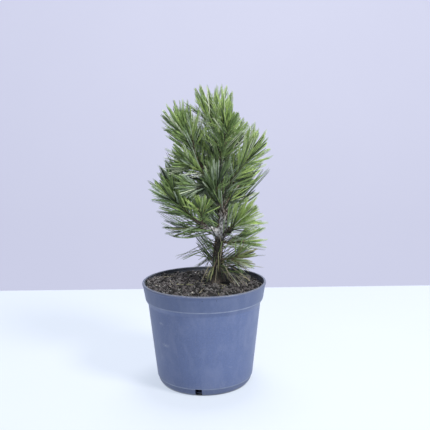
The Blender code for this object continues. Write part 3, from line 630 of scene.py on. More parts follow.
class Look:
    """A Principled material under construction, with textures read in the shared frame."""

    def __init__(self, name):
        self.material = bpy.data.materials.new(name)
        self.material.use_nodes = True
        self.tree = self.material.node_tree
        self.shader = self.tree.nodes["Principled BSDF"].inputs

    def feed(self, socket, value):
        """Links a socket to another, or sets its number or colour."""
        if isinstance(value, bpy.types.NodeSocket):
            self.tree.links.new(value, socket)
        else:
            socket.default_value = (*value, 1) if socket.type == "RGBA" else value

    def node(self, kind, output, inputs, **settings):
        """The output of a new node with its settings and inputs."""
        made = self.tree.nodes.new(f"ShaderNode{kind}")
        for key, value in settings.items():
            setattr(made, key, value)
        for key, value in inputs.items():
            self.feed(made.inputs[key], value)
        return made.outputs[output]

    def place(self, stretch=(1, 1, 1)):
        """Position in the shared frame, scaled along each axis."""
        source = self.node("TexCoord", "Object", {})
        return self.node("Mapping", "Vector", {"Vector": source, "Scale": stretch})

    def noise(self, scale, detail=3, roughness=0.55, distortion=0, stretch=(1, 1, 1)):
        """A noise texture's value."""
        return self.node("TexNoise", "Fac", {
            "Vector": self.place(stretch), "Scale": scale, "Detail": detail, "Roughness": roughness,
            "Distortion": distortion,
        })

    def cells(self, scale, output="Distance"):
        """An output of a cell texture."""
        return self.node("TexVoronoi", output, {"Vector": self.place(), "Scale": scale})

    def ramp(self, value, *stops):
        """A colour ramp of (place, linear colour) stops."""
        colour = self.node("ValToRGB", "Color", {"Fac": value})
        elements = colour.node.color_ramp.elements
        while len(elements) < len(stops):
            elements.new(0.5)
        for element, (at, tone) in zip(elements, stops):
            element.position = at
            element.color = (*tone, 1)
        return colour

    def mix(self, share, first, second, blend="MIX"):
        """Two colours mixed by a share."""
        return self.node("Mix", 2, {0: share, 6: first, 7: second}, data_type="RGBA", blend_type=blend)

    def span(self, value, from_low, from_high, to_low, to_high):
        """A value read from one range into another, kept within it."""
        return self.node("MapRange", "Result", {
            "Value": value, "From Min": from_low, "From Max": from_high, "To Min": to_low, "To Max": to_high,
        })

    def times(self, first, second):
        """Two values multiplied."""
        return self.node("Math", 0, {0: first, 1: second}, operation="MULTIPLY")

    def away(self, place, point):
        """Distance of a place from a point."""
        return self.node("VectorMath", "Value", {0: place, 1: point}, operation="DISTANCE")

    def coat(self, colour, roughness, height=None, strength=0, depth=0):
        """The material with its base colour, roughness and bump."""
        self.feed(self.shader["Base Color"], colour)
        self.feed(self.shader["Roughness"], roughness)
        if height:
            bump = self.node("Bump", "Normal", {"Height": height, "Strength": strength, "Distance": depth})
            self.feed(self.shader["Normal"], bump)
        return self.material


def toned(colour, share, lift=0):
    """A colour made darker or paler by a share."""
    return tuple(min(channel * share + lift, 1) for channel in colour)


def needle_material(tint, colour):
    """Waxy needle: plain base colour with a slight lengthwise mottling in colour and gloss."""
    look = Look(f"needle_{tint}")
    grain = look.noise(160, 2)
    body = look.ramp(grain, (0.3, toned(colour, 0.8)), (0.7, toned(colour, 1.22, 0.006)))
    return look.coat(body, look.span(grain, 0.3, 0.7, 0.38, 0.52), look.noise(2600, 2), 0.15, 0.0002)


def crumb_material(name, colour, roughness=0.95):
    """Broken plant matter: one colour with darker grain."""
    look = Look(name)
    stops = (0.3, toned(colour, 0.45)), (0.52, colour), (0.75, toned(colour, 1.35))
    return look.coat(look.ramp(look.noise(900, 4, 0.65), *stops), roughness, look.noise(2200), 0.6, 0.0006)


def bark_material():
    """Bark whose tone comes with the relief, broken up by fine grain and lichen grey."""
    look = Look("pine_bark")
    tone = look.node("VertexColor", "Color", {}, layer_name="tone")
    grain = look.noise(900, 4, 0.65, stretch=(1, 1, 0.45))
    shades = look.ramp(grain, (0.3, (0.42, 0.4, 0.38)), (0.68, (1.5, 1.46, 1.4)))
    lichen = look.span(look.noise(330, 3, 0.6), 0.6, 0.72, 0, 0.5)
    colour = look.mix(lichen, look.mix(0.75, tone, shades, "MULTIPLY"), (0.33, 0.31, 0.28))
    return look.coat(colour, look.span(grain, 0.3, 0.7, 0.95, 0.78), grain, 0.7, 0.0009)


def twig_material():
    """Young shoot: ashy brown with small scale marks."""
    look = Look("shoot_bark")
    marks = look.cells(620)
    body = look.ramp(look.noise(420), (0.3, (0.085, 0.06, 0.04)), (0.7, (0.2, 0.165, 0.125)))
    colour = look.mix(look.span(marks, 0.25, 0.6, 0.75, 0), body, (0.05, 0.034, 0.024))
    return look.coat(colour, 0.85, marks, 0.6, 0.0008)


def bud_material():
    """Winter bud: red-brown scales edged with pale resin."""
    look = Look("bud_scales")
    marks = look.cells(900)
    body = look.ramp(marks, (0.1, (0.13, 0.062, 0.034)), (0.45, (0.24, 0.15, 0.1)), (0.75, (0.52, 0.46, 0.4)))
    return look.coat(body, 0.55, marks, 0.5, 0.0006)


def pot_material():
    """Moulded slate plastic: dusty film, painted edge highlights and shade, small smeared scuffs and specks.
    """
    look = Look("pot_plastic")
    streak = look.noise(150, 3, 0.6, stretch=(1, 1, 0.05))
    cloud = look.noise(16, 4, 0.6)
    fleck = look.noise(420, 4, 0.7)
    patchy = look.noise(60, 4, 0.7)
    smoke = look.noise(42, 4, 0.62, 0.6, (1, 1, 0.55))
    scratch = look.noise(190, 5, 0.75, 1.2, (1, 1, 3.2))
    height = look.node("SeparateXYZ", "Z", {"Vector": look.place()})
    splash = look.times(look.span(height, 0, 0.03, 0.45, 0), look.span(fleck, 0.42, 0.66, 0, 1))
    layers = [
        (look.span(cloud, 0.35, 0.7, 0, 0.35), POT_TONES[2]),
        (look.span(fleck, 0.54, 0.74, 0, 0.34), (0.24, 0.26, 0.32)),
        (look.span(look.noise(900, 3, 0.6), 0.6, 0.35, 0, 0.38), (0.05, 0.07, 0.14)),
        (look.span(smoke, 0.46, 0.66, 0, 0.42), (0.155, 0.19, 0.32)),
        (splash, (0.24, 0.26, 0.31)),
        # Painted shade: the collar darker than the body, the base ring darker, and the wall darker towards
        # the foot
        (look.span(height, 0.1545, 0.158, 0, 0.34), (0.06, 0.08, 0.14)),
        (look.span(height, 0.0125, 0.0145, 0.3, 0), (0.03, 0.042, 0.085)),
        (look.span(height, 0.005, 0.05, 0.14, 0), (0.03, 0.042, 0.1)),
    ]
    # Painted highlights along the collar's foot and the base ring's top edge, broken by patches
    for middle, half, strength in PAINTED_EDGE_HIGHLIGHTS:
        above = look.node("Math", 0, {0: height, 1: middle}, operation="SUBTRACT")
        edge = look.span(look.node("Math", 0, {0: above}, operation="ABSOLUTE"), 0, half, 1, 0)
        layers.append((look.times(edge, look.span(patchy, 0.3, 0.65, 0.15, strength)), (0.34, 0.38, 0.46)))
    lip = look.times(look.span(height, 0.1838, 0.185, 0, 0.8), look.span(patchy, 0.3, 0.6, 0.4, 1))
    layers.append((lip, (0.155, 0.165, 0.2)))
    layers.append((look.span(scratch, 0.7, 0.8, 0, 0.35), (0.3, 0.33, 0.39)))
    for x, y, z, size in SMEARS:
        away = look.away(look.place((1, 1, SMEAR_STRETCH)), (x, y, z * SMEAR_STRETCH))
        near = look.span(away, 0, size, 0.8, 0)
        layers.append((look.times(near, look.span(fleck, 0.4, 0.65, 0, 1)), (0.34, 0.37, 0.43)))
    colour = look.ramp(streak, (0.3, POT_TONES[0]), (0.7, POT_TONES[1]))
    for share, tone in layers:
        colour = look.mix(share, colour, tone)
    fine = look.noise(700, 3, 0.6, stretch=(1, 1, 0.3))
    return look.coat(colour, look.span(cloud, 0.3, 0.7, 0.38, 0.5), fine, 0.08, 0.0006)


def inside_material():
    """The pot's inner wall: the same plastic, darkened by painted shade and a mottled soil film."""
    look = Look("pot_inside")
    film = look.noise(90, 4, 0.65)
    body = look.ramp(film, (0.3, (0.036, 0.042, 0.064)), (0.7, (0.098, 0.11, 0.14)))
    return look.coat(body, 0.7, film, 0.2, 0.0008)


def soil_material():
    """Damp peat between the crumbs."""
    look = Look("peat")
    grain = look.noise(620, 5, 0.7)
    stops = (0.3, (0.02, 0.019, 0.019)), (0.55, (0.08, 0.076, 0.074)), (0.78, (0.22, 0.21, 0.205))
    body = look.ramp(grain, *stops)
    return look.coat(look.mix(0.25, body, look.cells(330, "Color"), "OVERLAY"), 0.97, grain, 0.9, 0.0015)


# Pot and soil

def fillet(corners):
    """A polyline from corners of (radius, height, rounding), with each corner rounded by an arc."""
    out = []
    for index, (radius, height, rounding) in enumerate(corners):
        here = np.array([radius, height])
        if rounding:
            before, after = (here + unit(corners[index + step][:2] - here) * rounding for step in (-1, 1))
            out.extend(bezier(before, here, after, 5))
        else:
            out.append(here)
    return np.array(out)


def build_pot():
    """The pot's fine shell with rolled lip, collar, base ring and drain notches."""
    profile = fillet(np.array(POT_PROFILE))
    turn = round_turns(POT_SIDES)
    radius = profile[1:-1, :1]
    height = profile[1:-1, 1:]
    sway = 0.25 * np.sin(2 * turn + 0.4) + 0.12 * np.sin(5 * turn)
    wide = radius + sway * smoothstep(20, 150, height) * smoothstep(40, 80, radius)
    points = np.stack([wide * np.cos(turn), wide * np.sin(turn), height + 0 * turn], axis=-1).reshape(-1, 3)
    points = np.vstack([points, UP * profile[0][1], UP * profile[-1][1]])
    rings = len(profile) - 2
    faces = [grid_faces(rings, POT_SIDES), end_caps(rings, POT_SIDES)]
    pot = mesh_object("pot_shell", points, faces, pot_material())
    cutter = notch_cutter()
    cut = pot.modifiers.new("notches", "BOOLEAN")
    cut.operation = "DIFFERENCE"
    cut.solver = "EXACT"
    cut.object = cutter
    graph = bpy.context.evaluated_depsgraph_get()
    pot.data = bpy.data.meshes.new_from_object(pot.evaluated_get(graph))
    pot.modifiers.clear()
    bpy.data.objects.remove(cutter, do_unlink=True)
    pot.data.shade_smooth()
    pot.data.set_sharp_from_angle(angle=math.radians(POT_EDGE_ANGLE))
    pot.data.materials.append(inside_material())
    # Faces turned towards the axis above the floor take the darker inside material, painted shade inside the
    # pot
    for face in pot.data.polygons:
        if face.center.to_2d().dot(face.normal.to_2d()) < -1e-4 and face.center.z > FLOOR_HEIGHT:
            face.material_index = 1
    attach(pot, "root")
    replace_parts(pot, "pot")


def notch_cutter():
    """Four blocks with a rounded top, one for each drain notch."""
    corners = len(NOTCH_OUTLINE)
    points = []
    quads = []
    ends = []
    for number in range(4):
        heading = NOTCH_FIRST_HEADING + 90 * number
        out, side = heading_vector(heading, 0), heading_vector(heading + 90, 0)
        base = len(points)
        points += [out * reach + side * x + UP * z for reach in NOTCH_REACH for x, z in NOTCH_OUTLINE]
        near = base + np.arange(corners)
        far, after = near + corners, base + (np.arange(corners) + 1) % corners
        ends += [near[::-1], far]
        quads += [np.column_stack([near, after, after + corners, far])]
    faces = [np.vstack(quads), np.array(ends)]
    return mesh_object("notch_cutter", np.array(points), faces, None, smooth=False)


def soil_top(x, y):
    """Height of the soil's top, the solid's gentle waves with finer lumps on it."""
    away = np.clip((np.hypot(x - FOOT[0], y - FOOT[1]) - SOIL_FLAT_REACH) / SOIL_FLAT_FADE, 0, 1)
    waves = np.sin(x * 0.071 + 0.6) * np.cos(y * 0.063 - 0.4) + 0.5 * np.sin(x * 0.13 - y * 0.11)
    flat = np.stack([x, y, 0 * x], axis=-1)
    lumps = 3 * (rough_noise(flat, 17, 4, 3) - 0.5) + 2.2 * (rough_noise(flat, 6, 3, 9) - 0.5)
    edge = 1.6 * smoothstep(70, 100, np.hypot(x, y)) * smoothstep(-20, 60, -x - y)
    return SOIL_LEVEL + 0.4 + away * (1.2 * waves - 1.8 * x / RIM_RADIUS) + lumps + edge


def build_soil():
    """Uneven peat surface, its edge turned down inside the pot."""
    turn = round_turns(SOIL_SIDES)
    radius = np.linspace(0, SOIL_RADIUS, SOIL_RINGS)[1:, None]
    x, y = radius * np.cos(turn), radius * np.sin(turn)
    skin = np.stack([x, y, soil_top(x, y)], axis=-1)
    skirt = skin[-1] * (0.985, 0.985, 0) + UP * SOIL_SKIRT_FOOT
    points = np.vstack([skin.reshape(-1, 3), skirt, UP * soil_top(0, 0)])
    side = np.arange(SOIL_SIDES)
    fan = np.column_stack([np.full(SOIL_SIDES, len(points) - 1), side, (side + 1) % SOIL_SIDES])
    surface = mesh_object("soil_surface", points, [grid_faces(SOIL_RINGS, SOIL_SIDES), fan], soil_material())
    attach(surface, "root")
    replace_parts(surface, "soil")


def icosphere(levels):
    """Points and faces of a ball of triangles."""
    ball = bmesh.new()
    bmesh.ops.create_icosphere(ball, subdivisions=levels, radius=1)
    points = np.array([vertex.co[:] for vertex in ball.verts])
    faces = np.array([[vertex.index for vertex in face.verts] for face in ball.faces])
    ball.free()
    return points, faces


def turned_axes(count):
    """Random rotations as stacks of three axes."""
    first = unit(rng.normal(size=(count, 3)))
    second = unit(np.cross(first, rng.normal(size=(count, 3))))
    return np.stack([first, second, np.cross(first, second)], axis=1)


def build_crumbs():
    """Crumbs and chips of peat and bark lying on the soil, joined by colour."""
    small, large = icosphere(1), icosphere(2)
    for name, colour, count, least, most in CRUMBS:
        batch = Batch()
        turn = rng.uniform(0, 2 * math.pi, count)
        away = CRUMB_REACH * np.sqrt(rng.uniform(0, 1, count))
        sizes = least + (most - least) * rng.uniform(0, 1, count) ** CRUMB_SMALL_BIAS
        axes = turned_axes(count)
        stretch = rng.uniform(*CRUMB_STRETCH, (count, 3))
        x, y = away * np.cos(turn), away * np.sin(turn)
        middle = np.column_stack([x, y, soil_top(x, y) + sizes * CRUMB_LIFT])
        patch = value_noise(middle * (1, 1, 0), 24, 4)
        bare = np.mean(colour) * (0.5 + patch) > 0.16 + 0.14 * smoothstep(30, -50, y - 0.3 * x)
        for index in np.flatnonzero(~bare | (rng.uniform(0, 1, count) < BARE_CRUMBS_KEPT)):
            ball, faces = large if sizes[index] > CRUMB_FINE_FROM else small
            jag = 1 + rng.uniform(-CRUMB_JAG, CRUMB_JAG, (len(ball), 1))
            batch.add((ball * jag * stretch[index] * sizes[index]) @ axes[index] + middle[index], faces)
        piece = batch.build(name, crumb_material(name, colour), smooth=False)
        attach(piece, "root")


# Limbs

def leaf_scars(turns, runs, lanes, pitch):
    """Spiral rows of cushions: 0 in the cracks between them, 1 on their crowns."""
    rows_up = lanes[0] * turns / (2 * math.pi) + runs / pitch
    rows_down = lanes[1] * turns / (2 * math.pi) - runs / pitch
    return np.abs(np.sin(math.pi * rows_up) * np.sin(math.pi * rows_down)) ** 0.6


def limb_tones(crown, lumps, dark, pale):
    """Vertex colours from crack to crown of the relief, dark in the cracks partly as painted shade."""
    share = np.clip(crown * 0.75 + lumps * 0.5 - 0.1, 0, 1)[..., None]
    return np.array(dark) * (1 - share) + np.array(pale) * share


def limb_skin(turns, runs, width):
    """Places on a straightened limb, where its noise is read."""
    return np.stack([np.cos(turns) * width, np.sin(turns) * width, runs], axis=-1)


def bark_mesh(name, points, radii, sides, form, material):
    """A bark mesh. The form gives relief and vertex colours by turn, run and width."""
    tones = []

    def relief(turns, runs, width):
        out, tone = form(turns, runs, width)
        tones.append(tone.reshape(-1, 3))
        return out

    skin, quads, caps = tube(points, radii, sides, relief)
    tones += [tones[0][:1], tones[0][-1:]]
    return mesh_object(name, skin, [quads, caps], material, colours=np.vstack(tones))


def build_trunk(material):
    """The trunk with root flare, fissured foot, pale swollen graft and scarred upper length."""
    rows = np.array(TRUNK_COURSE)
    rows[:, 2] += TRUNK_BASE
    points, radii = resample(rows[:, :3], rows[:, 3], TRUNK_SPACING)
    points[0, 2] = TRUNK_BASE - TRUNK_SUNK

    def form(turns, runs, width):
        rise = points[:, 2][:, None] - TRUNK_BASE + 0 * turns
        skin = limb_skin(turns, rise, width)
        plates = rough_noise(skin * (1, 1, 0.38), 5, 4, 2)
        cracks = np.abs(rough_noise(skin * (1, 1, 0.22), 4.2, 3, 7) - 0.5) * 2
        lumps = rough_noise(skin, 4, 3, 11)
        crown = leaf_scars(turns, runs, (5, 8), 11)
        above = smoothstep(*GRAFT_FROM, rise)
        foot = 1 - above
        graft = above * (1 - smoothstep(*GRAFT_TO, rise))
        upper = smoothstep(*SCARS_FROM, rise)
        flare = FLARE * np.clip(1 - rise / FLARE_HEIGHT, 0, 1) * np.cos(FLARE_LOBES * turns) * width
        out = flare + foot * (1.5 * (plates - 0.5) + 0.9 * (smoothstep(0, 0.35, cracks) - 0.8))
        out = out + graft * 2.2 * (lumps - 0.45)
        out = out + upper * (1.15 * (crown - 0.65) * width / 7 + 0.6 * (lumps - 0.5))
        foot_tone = limb_tones(smoothstep(0, 0.4, cracks), plates, *FOOT_TONES)
        splash = 0.85 * (1 - smoothstep(3, 17, rise))[..., None]
        foot_tone = foot_tone * (1 - splash) + splash * (0.4 + 1.2 * plates)[..., None] * SPLASH_TONE
        mottle = smoothstep(0.36, 0.62, rough_noise(skin, MOTTLE_SIZE, 4, 13))
        tones = foot_tone, limb_tones(mottle, plates, *GRAFT_TONES), limb_tones(crown, lumps, *SCAR_TONES)
        blend = np.stack([foot, graft, upper], axis=-1)
        blend = blend / blend.sum(axis=-1, keepdims=True)
        return out, sum(tone * blend[..., index:index + 1] for index, tone in enumerate(tones))

    trunk = bark_mesh("trunk_bark", points, radii, TRUNK_SIDES, form, material)
    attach(trunk, "root")
    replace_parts(trunk, "trunk")


class Limb:
    """Centreline and radii of the trunk or a bough."""

    def __init__(self, points, radii):
        self.points = points
        self.radii = radii

    def read(self, where, marks):
        """Point on the centreline at a place among marks of its points."""
        return np.array([np.interp(where, marks, self.points[:, axis]) for axis in range(3)])

    def at_height(self, height):
        """Point on the centreline at a height."""
        return self.read(height, self.points[:, 2])

    def at_share(self, share):
        """Point on the centreline a share of the way along it."""
        return self.read(share * (len(self.points) - 1), np.arange(len(self.points)))

    def segments(self):
        """Straight pieces as rows of start, end, start radius and end radius."""
        return segment_rows(self.points, self.radii)


def segment_rows(points, radii):
    """A course's straight pieces as rows of start, end, start radius and end radius."""
    return np.column_stack([points[:-1], points[1:], radii[:-1], radii[1:]])


def build_bough(row, trunk, material):
    """One tapering bough with old leaf cushions, its root sunk in the trunk."""
    name, fork_height, tip, fork_radius, tip_radius, heading, rise = row
    start, end = trunk.at_height(fork_height), np.array(tip)
    control = end - heading_vector(heading, rise) * np.linalg.norm(end - start) * BOUGH_REACH
    points = bezier(start, control, end, 12)
    radii = np.linspace(fork_radius, tip_radius, len(points))
    fine, widths = resample(points, radii, BOUGH_SPACING)
    number = np.arange(len(widths))
    widths = widths + COLLAR * np.clip(1 - number / COLLAR_POINTS, 0, 1) ** 2
    if name == PALE_ROOT:
        widths = widths + PALE_ROOT_SWELL * (1 - smoothstep(16, 44, number * BOUGH_SPACING))

    def form(turns, runs, width):
        skin = limb_skin(turns, runs, width)
        lumps = rough_noise(skin, 3.5, 3, len(name))
        crown = leaf_scars(turns, runs, (3, 5), 8)
        tone = limb_tones(crown, lumps, *BOUGH_TONES)
        if name == PALE_ROOT:
            near = (1 - smoothstep(26, 40, runs))[..., None]
            mottle = smoothstep(0.36, 0.60, rough_noise(skin, MOTTLE_SIZE, 4, 13))
            tone = lerp(tone, limb_tones(mottle, lumps, *PALE_ROOT_TONES), near)
        return 0.7 * (crown - 0.65) + 0.5 * (lumps - 0.5), tone

    bough = bark_mesh(f"{name}_bark", fine, widths, BOUGH_SIDES, form, material)
    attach(bough, "root")
    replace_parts(bough, name)
    return Limb(points, radii)


# Needle masses

def tint_from(draw, blend):
    """A tint drawn from a blend."""
    weights = BLENDS[blend]
    return draw.choices(list(weights), weights.values())[0]


class Mass:
    """One shoot: its stem, its side twigs, and the needles that stand out of them."""

    def __init__(self, row, limbs):
        (name, carrier, where, heading, rise, length, self.needle_length,
         self.pairs, twig_count, self.droop, self.spread, self.blend) = row
        self.name = f"{name}_needles"
        self.draw = random.Random(f"{SEED} {self.name}")
        self.old = name.startswith("foot")
        self.direction = heading_vector(heading, rise)
        limb = limbs[carrier]
        if where == 1 or where >= limb.points[-1][2]:
            start = limb.points[-1] - self.direction * TIP_OVERLAP
        else:
            start = limb.at_height(where) if carrier == "trunk" else limb.at_share(where)
        end = start + self.direction * length
        self.points = bezier(start, (start + end) / 2 - UP * STEM_BOW * length, end, 10)
        self.radii = np.linspace(STEM_RADIUS, STEM_TIP_RADIUS, len(self.points))
        away = np.linalg.norm(self.points - start, axis=1)
        self.bare = away.searchsorted(limb.radii.min() + 3) if where != 1 else 1
        self.twigs = [self.make_twig(number, twig_count, length) for number in range(twig_count)]

    def make_twig(self, number, count, length):
        """A side twig, spread round the stem by the golden angle."""
        draw = self.draw
        share = lerp(TWIG_LOWEST, TWIG_HIGHEST, (number + 0.5) / count)
        start = self.points[self.bare] + (self.points[-1] - self.points[self.bare]) * share
        azimuth = number * GOLDEN_ANGLE + draw.uniform(0, 360)
        out = tilted(self.direction, TWIG_ANGLE + draw.uniform(-6, 6), azimuth)
        reach = length * TWIG_SHARE * draw.uniform(*TWIG_REACHES)
        end = start + out * reach + UP * TWIG_LIFT * reach
        points = bezier(start, start + out * reach * 0.5, end, 5)
        return points, np.linspace(TWIG_RADIUS, TWIG_RADIUS * 0.8, len(points))

    def shoots(self):
        """Courses that needles stand on: the free stem and the twigs."""
        return [self.points[self.bare:]] + [points[1:] for points, _ in self.twigs]

    def segments(self):
        """Straight pieces of the stem and twigs."""
        return np.vstack([segment_rows(*course) for course in [(self.points, self.radii), *self.twigs]])


def distance(points, rows):
    """Least distance from each point to the surface of any straight tapering piece."""
    start, end = rows[:, :3], rows[:, 3:6]
    step = end - start
    square = np.maximum((step ** 2).sum(axis=1), 1e-9)
    away = points[:, None, :] - start[None]
    share = np.clip((away * step[None]).sum(axis=2) / square, 0, 1)
    gap = np.linalg.norm(away - share[:, :, None] * step[None], axis=2)
    return (gap - lerp(rows[:, 6], rows[:, 7], share)).min(axis=1)


def at_depth(points, depth):
    """Points moved along the camera's lines of sight to the upright plane at a depth."""
    return EYE + (points - EYE) * ((depth - EYE[1]) / (points[..., 1:2] - EYE[1]))


def in_outline(points):
    """True for each point that shows inside the crown's outline from the camera."""
    seen = at_depth(points, OUTLINE_DEPTH)
    x, height = seen[:, :1], seen[:, 2:]
    after = np.roll(CROWN_OUTLINE, -1, axis=0)
    spans = (CROWN_OUTLINE[:, 1] > height) != (after[:, 1] > height)
    climb = after[:, 1] - CROWN_OUTLINE[:, 1]
    slope = (after[:, 0] - CROWN_OUTLINE[:, 0]) / np.where(climb == 0, 1, climb)
    meets = CROWN_OUTLINE[:, 0] + (height - CROWN_OUTLINE[:, 1]) * slope
    return (spans & (x < meets)).sum(axis=1) % 2 == 1


class Space:
    """Says whether a needle keeps to its own mass's space."""

    def __init__(self, masses, limbs):
        self.own = {mass.name: mass.segments() for mass in masses}
        self.others = {
            name: np.vstack([rows for other, rows in self.own.items() if other != name]) for name in self.own
        }
        self.limbs = np.vstack([limb.segments() for limb in limbs])

    def allows(self, name, points):
        """True where all points are near enough their own mass, off limbs, soil and rim."""
        if not in_outline(points[-2:]).all():
            return False
        if name in self.own:
            margin = distance(points, self.others[name]) - distance(points, self.own[name])
            if margin.min() < SPACE_MARGIN:
                return False
        if distance(points, self.limbs).min() < LIMB_MARGIN:
            return False
        flat, height = np.hypot(points[:, 0], points[:, 1]), points[:, 2]
        over_rim = (flat > RIM_RADIUS - RIM_THICKNESS) & (height < POT_HEIGHT + RIM_MARGIN)
        return not ((height < SOIL_LEVEL + SOIL_MARGIN) | over_rim).any()


class Needles:
    """Gathers pairs of needles and builds them by tint."""

    def __init__(self):
        self.rows = {tint: [] for tint in TINTS}
        self.sheaths = Batch()

    def add(self, tint, root, along, bend, outer, length, width):
        """One needle: its start, its straight course, its bend, the way its back faces, and its size."""
        self.rows[tint].append((*root, *along, *bend, *outer, length, width))

    def add_pair(self, root, direction, curl_to, length, tint, draw, width=NEEDLE_WIDTH):
        """Two needles splayed from one sheath, flat sides facing each other."""
        side = beside(direction, draw.uniform(0, 2 * math.pi))
        splay = math.tan(math.radians(draw.uniform(*NEEDLE_SPLAYS)))
        for back in (-side, side):
            own = unit(direction + back * splay)
            bend = needle_bend(own, curl_to) + back * draw.uniform(*PAIR_BENDS)
            long = length * draw.uniform(*PAIR_LENGTHS)
            self.add(tint, root + back * NEEDLE_GAP, own, bend, back, long, width)
        end = root + direction * SHEATH_LENGTH * draw.uniform(0.7, 1.1)
        self.sheaths.add(*tube(np.array([root, (root + end) / 2, end]), np.array(SHEATH_RADII), 6))

    def add_placed(self, root, tip, sag, gape, tint, width):
        """Two needles from one root to one tip, sagging between them, their ends a little apart."""
        step = np.array(tip) - np.array(root)
        length = np.linalg.norm(step)
        side = unit(np.cross(step, (0, 1, 0)))
        for sign in (-0.5, 0.5):
            own = step / length - UP * sag + side * sign * gape
            self.add(tint, root, own, UP * sag, side * sign * 2, length * (1 + 0.03 * sign), width)

    def build(self):
        """One object for each tint, plus the sheaths."""
        stations, taper = np.array(NEEDLE_TAPER).T
        section = np.array(NEEDLE_SECTION)
        rings, corners = len(stations), len(section)
        quads = grid_faces(rings, corners)
        tips = end_caps(rings, corners)[corners:] - (0, 0, 1)
        for tint, rows in self.rows.items():
            rows = np.array(rows)
            root, along, bend, outer = rows[:, :3], rows[:, 3:6], rows[:, 6:9], rows[:, 9:12]
            length, width = rows[:, 12, None], rows[:, 13, None]
            cross = unit(np.cross(along, outer))
            middle = root[:, None] + length[:, :, None] * (
                along[:, None] * stations[None, :, None] + bend[:, None] * stations[None, :, None] ** 2)
            spread = cross[:, None, None] * section[:, :1] + outer[:, None, None] * section[:, 1:]
            body = middle[:, :, None] + spread * (width * taper)[:, :, None, None]
            points = np.hstack([body.reshape(len(rows), -1, 3), (root + length * (along + bend))[:, None]])
            offsets = (np.arange(len(rows)) * points.shape[1])[:, None, None]
            faces = [(quads + offsets).reshape(-1, 4), (tips + offsets).reshape(-1, 3)]
            material = needle_material(tint, TINTS[tint])
            piece = mesh_object(f"needles_{tint}", points.reshape(-1, 3), faces, material)
            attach(piece, "root")
        sheaths = self.sheaths.build("needle_sheaths", crumb_material("sheath", SHEATH_TONE, 0.8))
        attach(sheaths, "root")


def needle_bend(direction, curl_to):
    """How far a needle's tip turns from its first direction, as a share of its length."""
    return (unit(direction * (1 - NEEDLE_CURL) + curl_to * NEEDLE_CURL) - direction) * 0.5


def sample(root, direction, curl_to, length):
    """Points along a needle's course beyond its sheath."""
    share = np.linspace(min(7 / length, 0.5), 1, 9)[:, None]
    return root + length * (direction * share + needle_bend(direction, curl_to) * share ** 2)


def grow_mass(mass, space, needles):
    """Pairs of needles round the mass's shoots by the golden angle."""
    draw = mass.draw
    courses = mass.shoots()
    lengths = [np.linalg.norm(np.diff(points, axis=0), axis=1).sum() for points in courses]
    number = 0
    for points, run in zip(courses, lengths):
        count = max(round(mass.pairs * run / sum(lengths)), 4)
        spray = tint_from(draw, mass.blend)
        for step in range(count):
            share = (step + draw.uniform(0.2, 0.8)) / count
            where = share * (len(points) - 1)
            index = min(int(where), len(points) - 2)
            root = lerp(points[index], points[index + 1], where - index)
            axis = unit(points[index + 1] - points[index])
            number += 1
            tint = spray if draw.random() < SPRAY_SHARE else tint_from(draw, mass.blend)
            grow_pair(mass, space, needles, root, axis, share, number, tint)


def grow_pair(mass, space, needles, root, axis, share, number, tint):
    """The longest pair that its space allows at one place of a shoot."""
    draw = mass.draw
    base_angle = lerp(NEEDLE_BASE_ANGLE, NEEDLE_TIP_ANGLE, share ** NEEDLE_ANGLE_POWER) * mass.spread
    curl_to = -UP if mass.droop >= HANGING_DROOP else axis
    best = None
    for attempt in range(NEEDLE_TRIES):
        azimuth = number * GOLDEN_ANGLE + draw.uniform(-AZIMUTH_JITTER, AZIMUTH_JITTER) * (1 + attempt)
        angle = max(base_angle + draw.uniform(-ANGLE_JITTER, ANGLE_JITTER) - attempt, LEAST_ANGLE)
        length = mass.needle_length * draw.uniform(*NEEDLE_LENGTHS)
        direction = unit(tilted(axis, angle, azimuth) - UP * (mass.droop / FULL_DROOP))
        for cut in NEEDLE_CUTS:
            if best and cut <= best[0]:
                break
            if space.allows(mass.name, sample(root, direction, curl_to, length * cut)):
                best = (cut, direction, length * cut)
                break
        if best and best[0] == 1:
            break
    if best:
        needles.add_pair(root, best[1], curl_to, best[2], tint, draw, OLD_WIDTH if mass.old else NEEDLE_WIDTH)


def grow_to_tips(masses, needles):
    """Two pairs for each tip of the crown's outline, from the stem that points most nearly there."""
    draw = random.Random(f"{SEED} tips")
    rows = []
    for mass in masses:
        course = mass.points[mass.bare:]
        if not mass.old:
            rows += [(mass, *pair) for pair in zip(course, unit(np.gradient(course, axis=0)))]
    outline = zip(np.roll(CROWN_OUTLINE, 1, axis=0), CROWN_OUTLINE, np.roll(CROWN_OUTLINE, -1, axis=0))
    for before, tip, after in outline:
        into, onward = tip - before, after - tip
        low = tip[1] < LOWEST_TIPS[0 if tip[0] < 0 else 1] or tuple(tip) == PLACED_TIP
        if low or into[0] * onward[1] - into[1] * onward[0] >= 0:
            continue
        found = []
        for mass, point, axis in rows:
            goal = at_depth(np.array([tip[0], OUTLINE_DEPTH, tip[1]]), point[1] + draw.uniform(-6, 6))
            step = goal - point
            length = np.linalg.norm(step)
            turn = math.degrees(math.acos(min(axis.dot(step) / length, 1)))
            misfit = turn / MISFIT_TURN + max(abs(length / mass.needle_length - TIP_NEEDLE) - 0.1, 0) * 6
            found.append((misfit, len(found), mass, point, goal))
        misfit, _, mass, point, goal = min(found)
        if misfit > WORST_MISFIT:
            continue
        for shift in (0, 1.6):
            aside = np.array([draw.uniform(-shift, shift), 0, -shift])
            needles.add_placed(point, goal + aside, 0.07, 0.02, tint_from(draw, mass.blend), NEEDLE_WIDTH)


